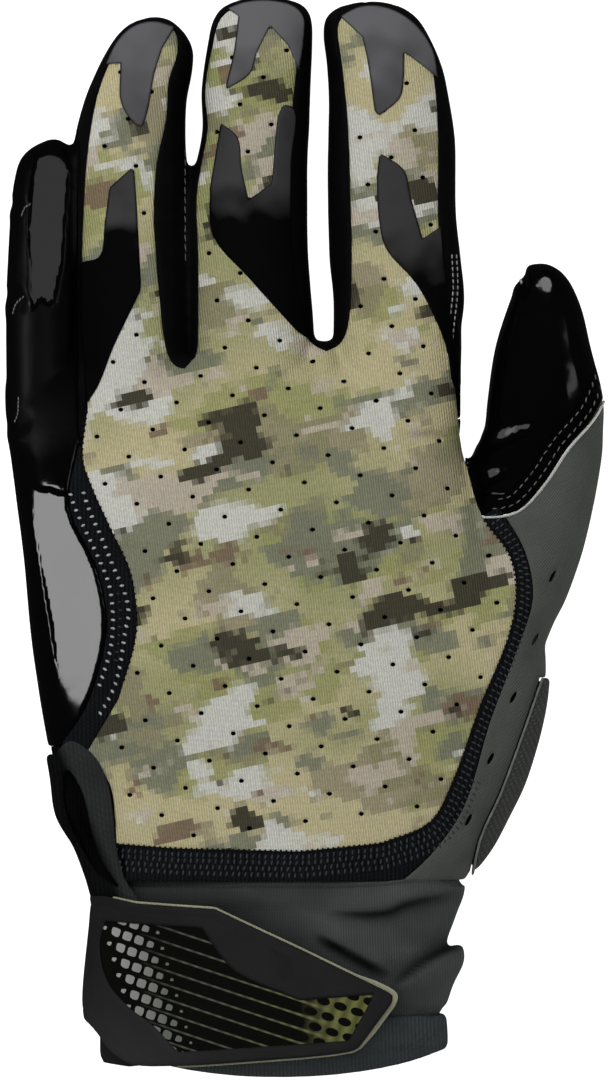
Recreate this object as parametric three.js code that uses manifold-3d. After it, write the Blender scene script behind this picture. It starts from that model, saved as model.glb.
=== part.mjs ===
// A receiver glove for football, for the left hand, lying palm down with its back up.
// Millimetres. X runs towards the thumb, Y towards the fingertips and Z up.
// The glove is one hollow hand form, cut into its sewn panels along their outlines seen
// from above, with thin moulded pieces, bindings, a cuff and a closure strap laid on it.

import * as THREE from "three";
import Module from "manifold-3d";
import { mergeVertices } from "three/addons/utils/BufferGeometryUtils.js";

const wasm = await Module();
wasm.setup();

// Sizes of the hand form
const palmWidth = 97;
const palmLength = 109;
const palmHeight = 30;
const wristWidth = 74.5;
const wristHeight = 34;
const cuffLength = 41;

// Walls, layers and clearances
const panelWall = 1.5;
const cuffWall = 2.4;
const seamGap = 0.3;
const layerGap = 0.3;
const overlayThickness = 0.8;
const pipingThickness = 0.6;
const pipingWidth = 1.0;
const seamTapeWidth = 4.4;
const bindingThickness = 1.2;
const heelPadThickness = 1.0;
const ventDepth = 1.1;
const palmPanelHeight = 7.5;
const strapThickness = 1.4;
const backingThickness = 0.7;
const backingMargin = 0.9;
const tabThickness = 2.0;
const windowDepth = 0.9;
const inlayThickness = 0.5;
const tabReachDown = 12;
const strapReachDown = 4;

// The widest line of every section, as a share of its height, and how full its upper
// and lower halves are: 2 is an ellipse, and more is squarer
const bellyShare = 0.42;
const upperFullness = 2.3;
const lowerFullness = 2.8;
const restingFlat = 1.14;

// Sides round a section
const digitSides = 12;
const palmSides = 24;
const cuffSides = 18;
const insideSides = 8;

const halfPalm = palmWidth / 2;
const halfWrist = wristWidth / 2;
const wristCentre = 0.18 * halfPalm;

// A point on the palm: across as a share of half its width, along from wrist to fingers
const onPalm = (across, along) => [across * halfPalm, along * palmLength];

// A point on the cuff: across from its centre line, along from the wrist to the hem
const onCuff = (across, along) => [wristCentre + across * halfWrist, -along * cuffLength];

// Each digit stands on the palm at a root, and its sections run from inside the palm
// (along below 0) to the tip (along 1). Left and right are shares of half its width
// from the line through its root, and under and over shares of its height.
const digits = {
  little: {
    root: onPalm(-0.833, 1), length: 46.4, width: 16, height: 15.5,
    sections: [
      { along: -0.7, left: -0.5, right: 1.1, under: 0, over: 1.1 },
      { along: -0.35, left: -0.9, right: 1.05, under: 0, over: 1.08 },
      { along: 0, left: -1, right: 1, under: 0, over: 1 },
      { along: 0.31, left: -1, right: 1, under: 0, over: 1 },
      { along: 0.63, left: -0.9, right: 1, under: 0, over: 0.98 },
      { along: 0.81, left: -0.8, right: 0.97, under: 0, over: 0.95 },
      { along: 0.905, left: -0.66, right: 0.9, under: 0.03, over: 0.88 },
      { along: 0.95, left: -0.47, right: 0.8, under: 0.08, over: 0.79 },
      { along: 0.982, left: -0.2, right: 0.62, under: 0.18, over: 0.67 },
      { along: 1, left: 0.05, right: 0.45, under: 0.3, over: 0.54 },
    ],
  },
  ring: {
    root: onPalm(-0.456, 1), length: 72, width: 23.5, height: 19,
    sections: [
      { along: -0.2, left: -0.91, right: 1.05, under: 0, over: 1.1 },
      { along: 0, left: -0.93, right: 1, under: 0, over: 1.02 },
      { along: 0.29, left: -1.04, right: 0.98, under: 0, over: 1 },
      { along: 0.47, left: -1.04, right: 0.98, under: 0, over: 1 },
      { along: 0.64, left: -1.02, right: 0.96, under: 0, over: 0.97 },
      { along: 0.76, left: -0.84, right: 1, under: 0, over: 0.94 },
      { along: 0.85, left: -0.61, right: 1.13, under: 0, over: 0.91 },
      { along: 0.91, left: -0.42, right: 1.14, under: 0.03, over: 0.86 },
      { along: 0.95, left: -0.26, right: 1.02, under: 0.08, over: 0.8 },
      { along: 0.98, left: -0.08, right: 0.86, under: 0.16, over: 0.7 },
      { along: 1, left: 0.16, right: 0.66, under: 0.28, over: 0.54 },
    ],
  },
  middle: {
    root: onPalm(0.061, 1), length: 76.4, width: 24.8, height: 19.5,
    sections: [
      { along: -0.2, left: -0.93, right: 1.08, under: 0, over: 1.1 },
      { along: 0, left: -0.93, right: 1.1, under: 0, over: 1.02 },
      { along: 0.275, left: -1, right: 1, under: 0, over: 1 },
      { along: 0.445, left: -1.02, right: 0.97, under: 0, over: 1 },
      { along: 0.54, left: -0.93, right: 0.97, under: 0, over: 0.99 },
      { along: 0.64, left: -0.82, right: 1, under: 0, over: 0.97 },
      { along: 0.74, left: -0.87, right: 1.03, under: 0, over: 0.95 },
      { along: 0.865, left: -0.76, right: 1.08, under: 0, over: 0.91 },
      { along: 0.935, left: -0.66, right: 1.08, under: 0.04, over: 0.84 },
      { along: 0.97, left: -0.5, right: 0.98, under: 0.11, over: 0.75 },
      { along: 0.99, left: -0.26, right: 0.76, under: 0.2, over: 0.64 },
      { along: 1, left: -0.02, right: 0.46, under: 0.3, over: 0.54 },
    ],
  },
  index: {
    root: onPalm(0.685, 1), length: 75.2, width: 26.9, height: 19,
    sections: [
      { along: -0.2, left: -0.88, right: 1.04, under: 0, over: 1.08 },
      { along: 0, left: -0.95, right: 1.05, under: 0, over: 1.02 },
      { along: 0.165, left: -0.95, right: 1.11, under: 0, over: 1 },
      { along: 0.285, left: -0.97, right: 1.05, under: 0, over: 1 },
      { along: 0.4, left: -0.98, right: 0.97, under: 0, over: 1 },
      { along: 0.62, left: -0.98, right: 0.95, under: 0, over: 0.98 },
      { along: 0.73, left: -1, right: 0.86, under: 0, over: 0.95 },
      { along: 0.825, left: -1.06, right: 0.75, under: 0, over: 0.92 },
      { along: 0.91, left: -1.15, right: 0.55, under: 0.03, over: 0.86 },
      { along: 0.955, left: -1.1, right: 0.39, under: 0.08, over: 0.79 },
      { along: 0.985, left: -0.92, right: 0.18, under: 0.18, over: 0.67 },
      { along: 1, left: -0.66, right: -0.06, under: 0.3, over: 0.54 },
    ],
  },
  thumb: {
    root: onPalm(1.34, 0.46), length: 79, width: 25, height: 20,
    sections: [
      { along: -0.25, left: -1.2, right: -0.6, under: 0, over: 0.9 },
      { along: -0.06, left: -1.35, right: -0.13, under: 0, over: 1.12 },
      { along: 0.05, left: -1.35, right: 0.15, under: 0, over: 1.18 },
      { along: 0.106, left: -1.3, right: 0.33, under: 0, over: 1.2 },
      { along: 0.222, left: -1.3, right: 0.6, under: 0, over: 1.18 },
      { along: 0.36, left: -1.28, right: 0.81, under: 0, over: 1.12 },
      { along: 0.463, left: -1.28, right: 0.93, under: 0, over: 1.06 },
      { along: 0.508, left: -1.2, right: 0.97, under: 0, over: 1.03 },
      { along: 0.556, left: -1.04, right: 0.98, under: 0, over: 1 },
      { along: 0.64, left: -0.97, right: 0.98, under: 0, over: 0.98 },
      { along: 0.783, left: -0.84, right: 0.77, under: 0, over: 0.93 },
      { along: 0.886, left: -0.64, right: 0.61, under: 0.03, over: 0.86 },
      { along: 0.955, left: -0.46, right: 0.42, under: 0.1, over: 0.76 },
      { along: 0.985, left: -0.36, right: 0.26, under: 0.18, over: 0.66 },
      { along: 1, left: -0.24, right: 0.1, under: 0.28, over: 0.54 },
    ],
  },
};

// Sections of the palm, from the finger roots down to the wrist
const palmSections = [
  { along: 1.01, left: -0.97, right: 0.96, over: 0.48 },
  { along: 0.96, left: -1, right: 0.975, over: 0.65 },
  { along: 0.885, left: -0.995, right: 0.968, over: 0.76 },
  { along: 0.796, left: -0.97, right: 0.998, over: 0.84 },
  { along: 0.73, left: -0.95, right: 1.06, over: 0.89 },
  { along: 0.635, left: -0.925, right: 1.19, over: 0.94 },
  { along: 0.54, left: -0.905, right: 1.3, over: 0.97 },
  { along: 0.44, left: -0.88, right: 1.34, over: 0.99 },
  { along: 0.346, left: -0.85, right: 1.33, over: 1 },
  { along: 0.2, left: -0.79, right: 1.245, over: 1 },
  { along: 0.127, left: -0.765, right: 1.17, over: 1.01 },
  { along: 0.067, left: -0.69, right: 1.1, over: 1.02 },
];

// Sections of the cuff down to its hem, with the soft folds that bulge its edge
const cuffSections = [
  { along: 0, left: -1.056, right: 1.05, over: 0.92 },
  { along: 0.03, left: -1.05, right: 1.068, over: 0.955 },
  { along: 0.086, left: -1, right: 1.06, over: 0.97 },
  { along: 0.16, left: -0.965, right: 1.03, over: 0.94 },
  { along: 0.223, left: -0.955, right: 1.005, over: 0.93 },
  { along: 0.325, left: -0.95, right: 0.97, over: 0.92 },
  { along: 0.365, left: -0.95, right: 0.99, over: 0.955 },
  { along: 0.5, left: -0.95, right: 0.99, over: 0.97 },
  { along: 0.624, left: -0.94, right: 0.965, over: 0.955 },
  { along: 0.67, left: -0.93, right: 0.92, over: 0.93 },
];

const hemSections = [
  { along: 0.68, left: -0.93, right: 0.92, over: 0.935 },
  { along: 0.72, left: -0.94, right: 0.95, over: 0.98 },
  { along: 0.817, left: -0.94, right: 0.96, over: 1 },
  { along: 0.878, left: -0.93, right: 0.95, over: 0.985 },
  { along: 1.02, left: -0.9, right: 0.9, over: 0.95 },
];

// The smooth form that the strap and its tab lie on, just outside the cuff
const strapSections = [
  { along: -0.1, left: -1.12, right: 1.13, over: 1 },
  { along: 0.09, left: -1.03, right: 1.1, over: 0.995 },
  { along: 0.17, left: -0.985, right: 1.07, over: 0.99 },
  { along: 0.6, left: -0.975, right: 1.03, over: 0.99 },
  { along: 0.72, left: -0.965, right: 1.02, over: 1.015 },
  { along: 1.1, left: -0.965, right: 1.02, over: 1.015 },
];

// One closed ring of points round a section, moved inwards by inset
function sectionRing(section, sides, inset) {
  const centre = (section.left + section.right) / 2;
  const across = (section.right - section.left) / 2 - inset;
  const belly = section.under + (section.over - section.under) * bellyShare;
  const up = section.over - belly - inset;
  const down = (belly - section.under) * restingFlat - inset;
  const ring = [];
  for (let k = 0; k < sides; k += 1) {
    const turn = (2 * Math.PI * (k + 0.5)) / sides;
    const cos = Math.cos(turn);
    const sin = Math.sin(turn);
    const fullness = sin > 0 ? upperFullness : lowerFullness;
    const x = centre + across * Math.sign(cos) * Math.abs(cos) ** (2 / fullness);
    const rise = Math.abs(sin) ** (2 / fullness);
    const z = sin > 0 ? belly + up * rise : belly - down * rise;
    ring.push([x, section.y, Math.max(z, section.under + inset)]);
  }
  return ring;
}

function toSolid(geometry) {
  for (const name of Object.keys(geometry.attributes)) {
    if (name !== "position") {
      geometry.deleteAttribute(name);
    }
  }
  const merged = mergeVertices(geometry, 1e-4);
  return new wasm.Manifold(
    new wasm.Mesh({
      numProp: 3,
      vertProperties: new Float32Array(merged.attributes.position.array),
      triVerts: new Uint32Array(merged.index.array),
    }),
  );
}

// A closed solid through section rings that follow each other towards -Y
function loft(sections, sides, inset) {
  const positions = [];
  const indices = [];
  for (const section of sections) {
    for (const point of sectionRing(section, sides, inset)) {
      positions.push(...point);
    }
  }
  const at = (row, k) => row * sides + (k % sides);
  for (let row = 0; row + 1 < sections.length; row += 1) {
    for (let k = 0; k < sides; k += 1) {
      indices.push(at(row, k), at(row, k + 1), at(row + 1, k));
      indices.push(at(row, k + 1), at(row + 1, k + 1), at(row + 1, k));
    }
  }
  const last = sections.length - 1;
  for (let k = 1; k + 1 < sides; k += 1) {
    indices.push(at(0, 0), at(0, k + 1), at(0, k));
    indices.push(at(last, 0), at(last, k), at(last, k + 1));
  }
  const geometry = new THREE.BufferGeometry();
  geometry.setAttribute("position", new THREE.Float32BufferAttribute(positions, 3));
  geometry.setIndex(indices);
  return toSolid(geometry);
}

// Sections in millimetres, ordered from the fingertips towards the hem
function digitRows(digit, inset) {
  const half = digit.width / 2;
  const last = digit.sections.length - 1;
  return digit.sections
    .filter((row, k) => inset <= 0 || k % 2 === 0 || k === last)
    .map((row) => ({
      y: digit.root[1] + row.along * digit.length - (row.along > 0.5 ? inset : 0),
      left: digit.root[0] + row.left * half,
      right: digit.root[0] + row.right * half,
      under: row.under * digit.height,
      over: row.over * digit.height,
    }))
    .reverse();
}

function cuffRows(sections) {
  return sections.map((row) => {
    const [left, y] = onCuff(row.left, row.along);
    const [right] = onCuff(row.right, row.along);
    return { y, left, right, under: 0, over: row.over * wristHeight };
  });
}

function palmRows(inset) {
  const rows = palmSections.map((row) => {
    const [left, y] = onPalm(row.left, row.along);
    const [right] = onPalm(row.right, row.along);
    return { y, left, right, under: 0, over: row.over * palmHeight };
  });
  rows[0].y -= inset;
  const wrist = cuffRows(cuffSections)[0];
  return [...rows, wrist, { ...wrist, y: -0.1 * cuffLength }];
}

// The whole hand form down to just past the wrist, moved inwards by inset
function handForm(inset) {
  const inside = inset > 0;
  let form = loft(palmRows(inset), inside ? 2 * insideSides : palmSides, inset);
  for (const digit of Object.values(digits)) {
    const sides = inside ? insideSides : digitSides;
    form = form.add(loft(digitRows(digit, inset), sides, inset));
  }
  return form;
}

// A point of a digit: along its length, across as a share of half its width
function onDigit(digit, along, across) {
  return [digit.root[0] + (across * digit.width) / 2, digit.root[1] + along * digit.length];
}
const onLittle = (along, across) => onDigit(digits.little, along, across);
const onRing = (along, across) => onDigit(digits.ring, along, across);
const onMiddle = (along, across) => onDigit(digits.middle, along, across);
const onIndex = (along, across) => onDigit(digits.index, along, across);
const onThumb = (along, across) => onDigit(digits.thumb, along, across);

function signedArea(points) {
  return THREE.ShapeUtils.area(points.map(([x, y]) => new THREE.Vector2(x, y)));
}

// The outline moved outwards all round, or inwards by a negative distance
function grow(points, distance) {
  const side = signedArea(points) > 0 ? 1 : -1;
  const count = points.length;
  return points.map((point, k) => {
    const here = new THREE.Vector2(...point);
    const before = new THREE.Vector2(...points[(k + count - 1) % count]).sub(here).negate();
    const after = new THREE.Vector2(...points[(k + 1) % count]).sub(here);
    before.normalize();
    after.normalize();
    const normal = new THREE.Vector2(before.y + after.y, -before.x - after.x).normalize();
    const spread = Math.max(normal.x * before.y - normal.y * before.x, 0.5);
    const reach = (side * distance) / spread;
    return [point[0] + normal.x * reach, point[1] + normal.y * reach];
  });
}

// A band of even width along a line, to its right as the line runs
function ribbon(line, width) {
  const edge = line.map((point, k) => {
    const from = line[Math.max(k - 1, 0)];
    const to = line[Math.min(k + 1, line.length - 1)];
    const run = new THREE.Vector2(to[0] - from[0], to[1] - from[1]).normalize();
    return [point[0] + run.y * width, point[1] - run.x * width];
  });
  return [...line, ...edge.reverse()];
}

// A smooth line through a few points
function curve(points, steps) {
  const path = new THREE.CatmullRomCurve3(
    points.map(([x, y]) => new THREE.Vector3(x, y, 0)),
    false,
    "centripetal",
  );
  return path.getPoints((points.length - 1) * steps).map((point) => [point.x, point.y]);
}

const aboveAll = 2 * wristHeight;

function prism(outline, low = -aboveAll, high = aboveAll) {
  const shape = new THREE.Shape(outline.map(([x, y]) => new THREE.Vector2(x, y)));
  const geometry = new THREE.ExtrudeGeometry(shape, { depth: high - low, bevelEnabled: false });
  geometry.translate(0, 0, low);
  return toSolid(geometry);
}

// The outlines of the panels, seen from above

// Right edge and foot of the knit back, from the index finger to its left corner
const backRightEdge = curve(
  [onPalm(0.972, 0.865), onPalm(1.002, 0.796), onPalm(1.063, 0.7), onPalm(1.184, 0.625),
    onPalm(1.212, 0.55), onPalm(1.176, 0.465), onPalm(1.054, 0.333), onPalm(0.946, 0.2),
    onPalm(0.842, 0.114), onPalm(0.625, 0.073)],
  2,
);
const backFoot = [onPalm(0.278, 0.058), onPalm(-0.26, 0.0635), onPalm(-0.52, 0.071)];

// Left edge of the knit back, from its left corner up to the ring finger
const backLeftEdge = [
  ...curve([onPalm(-0.52, 0.11), onPalm(-0.545, 0.185), onPalm(-0.646, 0.248)], 2),
  ...curve(
    [onPalm(-0.508, 0.35), onPalm(-0.43, 0.48), onPalm(-0.4555, 0.592), onPalm(-0.538, 0.673),
      onPalm(-0.625, 0.758), onPalm(-0.664, 0.813), onPalm(-0.642, 0.91)],
    2,
  ),
];

const backOutline = [
  ...backLeftEdge,
  onRing(0.087, -0.84), onRing(0.286, -0.89), onRing(0.38, -0.875), onRing(0.583, -0.8),
  onRing(0.767, -0.625), onRing(0.87, -0.4), onRing(0.93, -0.22), onRing(0.968, 0.06),
  onRing(0.985, 0.4), onRing(0.965, 0.8), onRing(0.9, 0.86), onRing(0.816, 0.7),
  onRing(0.706, 0.66), onRing(0.571, 0.48), onRing(0.408, 0.43), onRing(0.286, 0.48),
  onRing(0.175, 0.554), onRing(0.058, 0.64), onRing(0, 0.79), onRing(-0.03, 0.946),
  onMiddle(-0.015, -0.966), onMiddle(0.027, -0.88), onMiddle(0.11, -0.88),
  onMiddle(0.3, -0.9), onMiddle(0.44, -0.93), onMiddle(0.53, -0.86), onMiddle(0.643, -0.74),
  onMiddle(0.742, -0.79), onMiddle(0.865, -0.66), onMiddle(0.93, -0.56), onMiddle(0.962, -0.4),
  onMiddle(0.98, -0.1), onMiddle(0.985, 0.3), onMiddle(0.97, 0.7), onMiddle(0.94, 0.87),
  onMiddle(0.879, 0.87), onMiddle(0.79, 0.8), onMiddle(0.7, 0.74), onMiddle(0.538, 0.67),
  onMiddle(0.275, 0.7), onMiddle(0.137, 0.86), onMiddle(0.05, 1.03), onMiddle(0.022, 1.15),
  onIndex(0.015, -1.05), onIndex(0.045, -0.86), onIndex(0.098, -0.74), onIndex(0.285, -0.68),
  onIndex(0.455, -0.7), onIndex(0.642, -0.734), onIndex(0.824, -0.83), onIndex(0.93, -0.9),
  onIndex(0.966, -0.8), onIndex(0.985, -0.5), onIndex(0.98, -0.12), onIndex(0.94, 0.26),
  onIndex(0.869, 0.55), onIndex(0.754, 0.66), onIndex(0.615, 0.7), onIndex(0.4, 0.7),
  onIndex(0.274, 0.75), onIndex(0.14, 0.84), onIndex(-0.028, 0.95),
  ...backRightEdge,
  ...backFoot,
];

const edgeTapeOutline = [
  ...curve(
    [onPalm(-0.68, 0.84), onPalm(-0.722, 0.72), onPalm(-0.6, 0.6), onPalm(-0.557, 0.5),
      onPalm(-0.59, 0.408), onPalm(-0.66, 0.325), onPalm(-0.76, 0.262)],
    2,
  ),
  onPalm(-0.64, 0.244), onPalm(-0.3, 0.36), onPalm(-0.3, 0.6), onPalm(-0.55, 0.82),
];

const borderTapeOutline = [
  onPalm(0.9, 0.88), onPalm(1.06, 0.88), onPalm(1.06, 0.79),
  ...curve(
    [onPalm(1.132, 0.72), onPalm(1.245, 0.635), onPalm(1.283, 0.545), onPalm(1.22, 0.45),
      onPalm(1.098, 0.306), onPalm(0.985, 0.142), onPalm(0.84, 0.05), onPalm(0.66, -0.02)],
    2,
  ),
  onPalm(0.6, -0.1), onPalm(-0.477, -0.1), onPalm(-0.477, 0.01), onPalm(-0.5, 0.09),
  onPalm(0.5, 0.2),
];

// The seam between the thumb stall and its gusset, from the outer side to the web
const thumbSeam = curve(
  [onThumb(0.73, 1.2), onThumb(0.6, 0.84), onThumb(0.51, 0.353), onThumb(0.415, -0.05),
    onThumb(0.345, -0.5), onThumb(0.333, -1.06), onThumb(0.345, -1.5)],
  2,
);
const thumbOutline = [
  ...thumbSeam,
  onThumb(0.47, -1.45), onThumb(0.52, -1.12), onThumb(0.6, -1.12), onThumb(1.1, -1.12),
  onThumb(1.1, 1.3),
];

const heelInnerEdge = [
  onPalm(1.319, 0.39), onPalm(1.245, 0.294), onPalm(1.141, 0.169), onPalm(1.05, 0.079),
  onPalm(1.0, -0.03),
];
const heelOutline = [...heelInnerEdge, onPalm(1.6, -0.03), onPalm(1.6, 0.39)];

// Roomy outlines: what the panels before them leave free of the form is theirs
const ventOutline = [
  onPalm(-1.3, 0.257), onPalm(-0.5, 0.257), onPalm(-0.3, -0.1), onPalm(-1.3, -0.1),
];
const littleOutline = [
  onPalm(-1.3, 0.257), onPalm(-0.55, 0.257), onPalm(-0.5, 0.6), onPalm(-0.63, 0.775),
  onRing(-0.2, -0.94), onRing(0, -0.95), onRing(0.5, -0.97), onLittle(1.1, 0.87),
  onLittle(1.1, -1.6),
];
const gussetOutline = [onPalm(0.5, -0.1), onPalm(2, -0.1), onPalm(2, 0.95), onPalm(0.94, 0.95)];
const sideOutlines = {
  side_little_ring: [
    onPalm(-0.8, 0.8), onPalm(-0.6, 0.8), onRing(0.3, 0), onRing(0.98, 0.2), onRing(1.1, 0.2),
    onRing(1.1, -1.4), onRing(0.3, -1.4),
  ],
  side_ring_middle: [
    onRing(-0.3, 0.4), onRing(0.9, 0.2), onRing(1.1, 0.2), onMiddle(1.1, 0.1), onMiddle(0.9, 0.1),
    onMiddle(-0.3, -0.4),
  ],
  side_middle_index: [
    onMiddle(-0.3, 0.4), onMiddle(0.9, 0.1), onMiddle(1.1, 0.1), onIndex(1.1, -0.45),
    onIndex(0.9, -0.45), onIndex(-0.3, -0.4),
  ],
  side_index: [
    onIndex(-0.3, 0.4), onIndex(0.9, -0.45), onIndex(1.1, -0.45), onIndex(1.1, 1.4),
    onIndex(0.3, 1.4), onPalm(1.06, 0.88), onPalm(0.9, 0.88),
  ],
};

// The smooth moulded pieces over the fingertips and knuckles
const overlayOutlines = {
  ring_tip: [
    onRing(0.86, -0.39), onRing(0.91, -0.27), onRing(0.953, -0.02), onRing(0.975, 0.4),
    onRing(0.958, 0.75), onRing(0.91, 0.57), onRing(0.834, 0.43), onRing(0.711, 0.286),
    onRing(0.679, 0.18), onRing(0.743, -0.16), onRing(0.866, -0.18),
  ],
  ring_knuckle: [
    onRing(0.569, 0.07), onRing(0.437, 0.125), onRing(0.216, 0.196), onRing(0.041, -0.286),
    onRing(-0.07, -0.55), onRing(-0.13, -0.74), onRing(0.087, -0.8), onRing(0.28, -0.84),
    onRing(0.303, -0.55), onRing(0.4, -0.46), onRing(0.504, -0.375),
  ],
  middle_tip: [
    onMiddle(0.956, -0.36), onMiddle(0.974, -0.05), onMiddle(0.978, 0.35),
    onMiddle(0.955, 0.8), onMiddle(0.88, 0.83), onMiddle(0.79, 0.74), onMiddle(0.863, 0.64),
    onMiddle(0.918, 0.34), onMiddle(0.843, 0.12), onMiddle(0.786, 0), onMiddle(0.742, -0.41),
    onMiddle(0.852, -0.27), onMiddle(0.945, -0.2),
  ],
  middle_knuckle: [
    onMiddle(0.654, -0.49), onMiddle(0.613, -0.2), onMiddle(0.527, -0.136),
    onMiddle(0.442, -0.02), onMiddle(0.486, 0.356), onMiddle(0.7, 0.54), onMiddle(0.69, 0.7),
    onMiddle(0.538, 0.62), onMiddle(0.275, 0.65), onMiddle(0.137, 0.8), onMiddle(0.05, 0.98),
    onMiddle(0.225, -0.02), onMiddle(0.343, -0.63), onMiddle(0.47, -0.68),
  ],
  index_tip: [
    onIndex(0.952, -0.84), onIndex(0.976, -0.5), onIndex(0.968, -0.1), onIndex(0.93, 0.25),
    onIndex(0.869, 0.5), onIndex(0.785, 0.56), onIndex(0.83, 0.375), onIndex(0.858, 0.156),
    onIndex(0.796, 0.156), onIndex(0.732, 0.094), onIndex(0.682, -0.234), onIndex(0.693, -0.31),
    onIndex(0.824, -0.41), onIndex(0.902, -0.5), onIndex(0.93, -0.42),
  ],
  index_knuckle: [
    onIndex(0.581, -0.234), onIndex(0.531, 0.156), onIndex(0.461, 0.25), onIndex(0.341, 0.44),
    onIndex(0.377, 0.66), onIndex(0.274, 0.7), onIndex(0.14, 0.79), onIndex(-0.1, 0.92),
    onIndex(-0.05, 0.87), onIndex(0.017, 0.82), onIndex(0.098, 0.67), onIndex(0.212, 0.34),
    onIndex(0.313, -0.14), onIndex(0.4, -0.25), onIndex(0.511, -0.28),
  ],
};

// The rim round the vent at the wrist, and the hollow that it leaves open
const ventRimOutline = [
  onPalm(-0.787, 0.243), onPalm(-0.715, 0.27), onPalm(-0.651, 0.258), onPalm(-0.592, 0.232),
  onPalm(-0.549, 0.187), onPalm(-0.524, 0.127), onPalm(-0.513, 0.069), onPalm(-0.484, 0.021),
  onPalm(-0.448, -0.02), onPalm(-1.3, -0.02), onPalm(-1.3, 0.243),
];
const ventHollowOutline = [
  onPalm(-0.743, 0.205), onPalm(-0.721, 0.212), onPalm(-0.664, 0.174), onPalm(-0.635, 0.127),
  onPalm(-0.614, 0.085), onPalm(-0.578, 0.04), onPalm(-0.505, -0.008), onPalm(-0.592, 0.015),
  onPalm(-0.65, 0.053), onPalm(-0.715, 0.111), onPalm(-0.743, 0.159),
];

// The closure tab, its window and the end of the strap that shows below it
const tabOutline = [
  onCuff(-1.3, 0.086), onCuff(-0.977, 0.076), onCuff(-0.797, 0.107), onCuff(-0.352, 0.132),
  onCuff(0.127, 0.335), onCuff(0.62, 0.553), onCuff(0.655, 0.585), onCuff(0.64, 0.62),
  onCuff(0.459, 0.84), onCuff(0.42, 0.858), onCuff(-0.211, 0.914), onCuff(-0.572, 0.934),
  onCuff(-0.82, 0.929), onCuff(-0.944, 0.868), onCuff(-1.05, 0.75), onCuff(-1.3, 0.58),
];
const windowOutline = [
  onCuff(-0.977, 0.203), onCuff(-1.01, 0.325), onCuff(-0.966, 0.503), onCuff(-0.837, 0.635),
  onCuff(-0.707, 0.721), onCuff(-0.56, 0.86), onCuff(0.4, 0.8), onCuff(0.54, 0.57),
  onCuff(0.127, 0.599), onCuff(-0.234, 0.457), onCuff(-0.352, 0.335), onCuff(-0.425, 0.234),
];
const strapOutline = [
  onCuff(-1.4, 0.14), onCuff(-0.7, 0.16), onCuff(-0.4, 0.2), onCuff(0.1, 0.39),
  onCuff(0.58, 0.6), onCuff(0.42, 0.8), onCuff(-0.84, 0.945), onCuff(-0.99, 0.93),
  onCuff(-1.02, 0.88), onCuff(-1.02, 0.78), onCuff(-1.4, 0.78),
];
const hemOutline = [
  onCuff(-1.5, 0.6), onCuff(1.5, 0.6),
  ...curve([onCuff(1.2, 0.78), onCuff(0.92, 0.88), onCuff(0.6, 0.955), onCuff(0.05, 1),
    onCuff(-0.5, 0.965), onCuff(-0.93, 0.87), onCuff(-1.2, 0.78)], 2),
];

// Materials
function finish(color, roughness) {
  return new THREE.MeshStandardMaterial({ color, roughness, metalness: 0 });
}
const gripSkin = finish(0x0a0a0b, 0.15);
const knit = finish(0x8f8b67, 0.85);
const meshTape = finish(0x161617, 0.8);
const overlaySkin = finish(0x4a4a4e, 0.4);
const gussetCloth = finish(0x3c3f3c, 0.8);
const cuffCloth = finish(0x3a3b3a, 0.9);
const strapRubber = finish(0x242425, 0.6);
const trimKhaki = finish(0xaaa88c, 0.7);
const windowGloss = finish(0x22241c, 0.2);

const glove = new THREE.Group();

// The largest solid of a cut is the piece, and offcuts along its edges are dropped
function addPiece(name, material, solid) {
  const parts = solid.decompose();
  parts.sort((a, b) => b.volume() - a.volume());
  const mesh = parts[0].getMesh();
  const geometry = new THREE.BufferGeometry();
  geometry.setAttribute("position", new THREE.BufferAttribute(mesh.vertProperties, 3));
  geometry.setIndex(new THREE.BufferAttribute(mesh.triVerts, 1));
  geometry.computeVertexNormals();
  const piece = new THREE.Mesh(geometry, material);
  piece.name = name;
  glove.add(piece);
}

// The form that the sewn panels share, open at the wrist
const handArea = [onPalm(-2, 0), onPalm(-2, 3), onPalm(3, 3), onPalm(3, 0)];
const shellEnd = prism(handArea.map(([x, y]) => [x, y + seamGap / 2]));
const outside = handForm(0);
const inside = handForm(panelWall);
const shell = outside.subtract(inside).intersect(shellEnd);

const upper = palmPanelHeight + seamGap;
const taken = [];

// A panel is cut from the form inside its outline, clear of the panels before it
function cutPanel(form, outline, low) {
  let solid = form.intersect(prism(outline, low));
  for (const other of taken) {
    solid = solid.subtract(other);
  }
  taken.push(prism(grow(outline, seamGap), low - seamGap));
  return solid;
}

addPiece("back_panel", knit, cutPanel(shell, backOutline, upper));
addPiece("outer_edge_tape", meshTape, cutPanel(shell, edgeTapeOutline, upper));
addPiece("back_border_tape", meshTape, cutPanel(shell, borderTapeOutline, upper));
addPiece("thumb_seam_tape", gripSkin, cutPanel(shell, ribbon(thumbSeam, seamTapeWidth), upper));
addPiece("thumb_panel", gripSkin, cutPanel(shell, thumbOutline, -aboveAll));

const ventForm = handForm(ventDepth).subtract(handForm(ventDepth + panelWall)).intersect(shellEnd);
addPiece("vent_gusset", gussetCloth, cutPanel(ventForm, ventOutline, upper));

const heelForm = handForm(-heelPadThickness).subtract(inside).intersect(shellEnd);
addPiece("heel_pad", gussetCloth, cutPanel(heelForm, heelOutline, upper));
addPiece("little_finger_wrap", gripSkin, cutPanel(shell, littleOutline, upper));
addPiece("thumb_gusset", gussetCloth, cutPanel(shell, gussetOutline, upper));
for (const [name, outline] of Object.entries(sideOutlines)) {
  addPiece(name, gripSkin, cutPanel(shell, outline, upper));
}

// The palm panel has what is left below its height
let palmSolid = shell.intersect(prism(handArea, -seamGap, palmPanelHeight));
for (const other of taken) {
  palmSolid = palmSolid.subtract(other);
}
addPiece("palm_panel", gripSkin, palmSolid);

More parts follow.
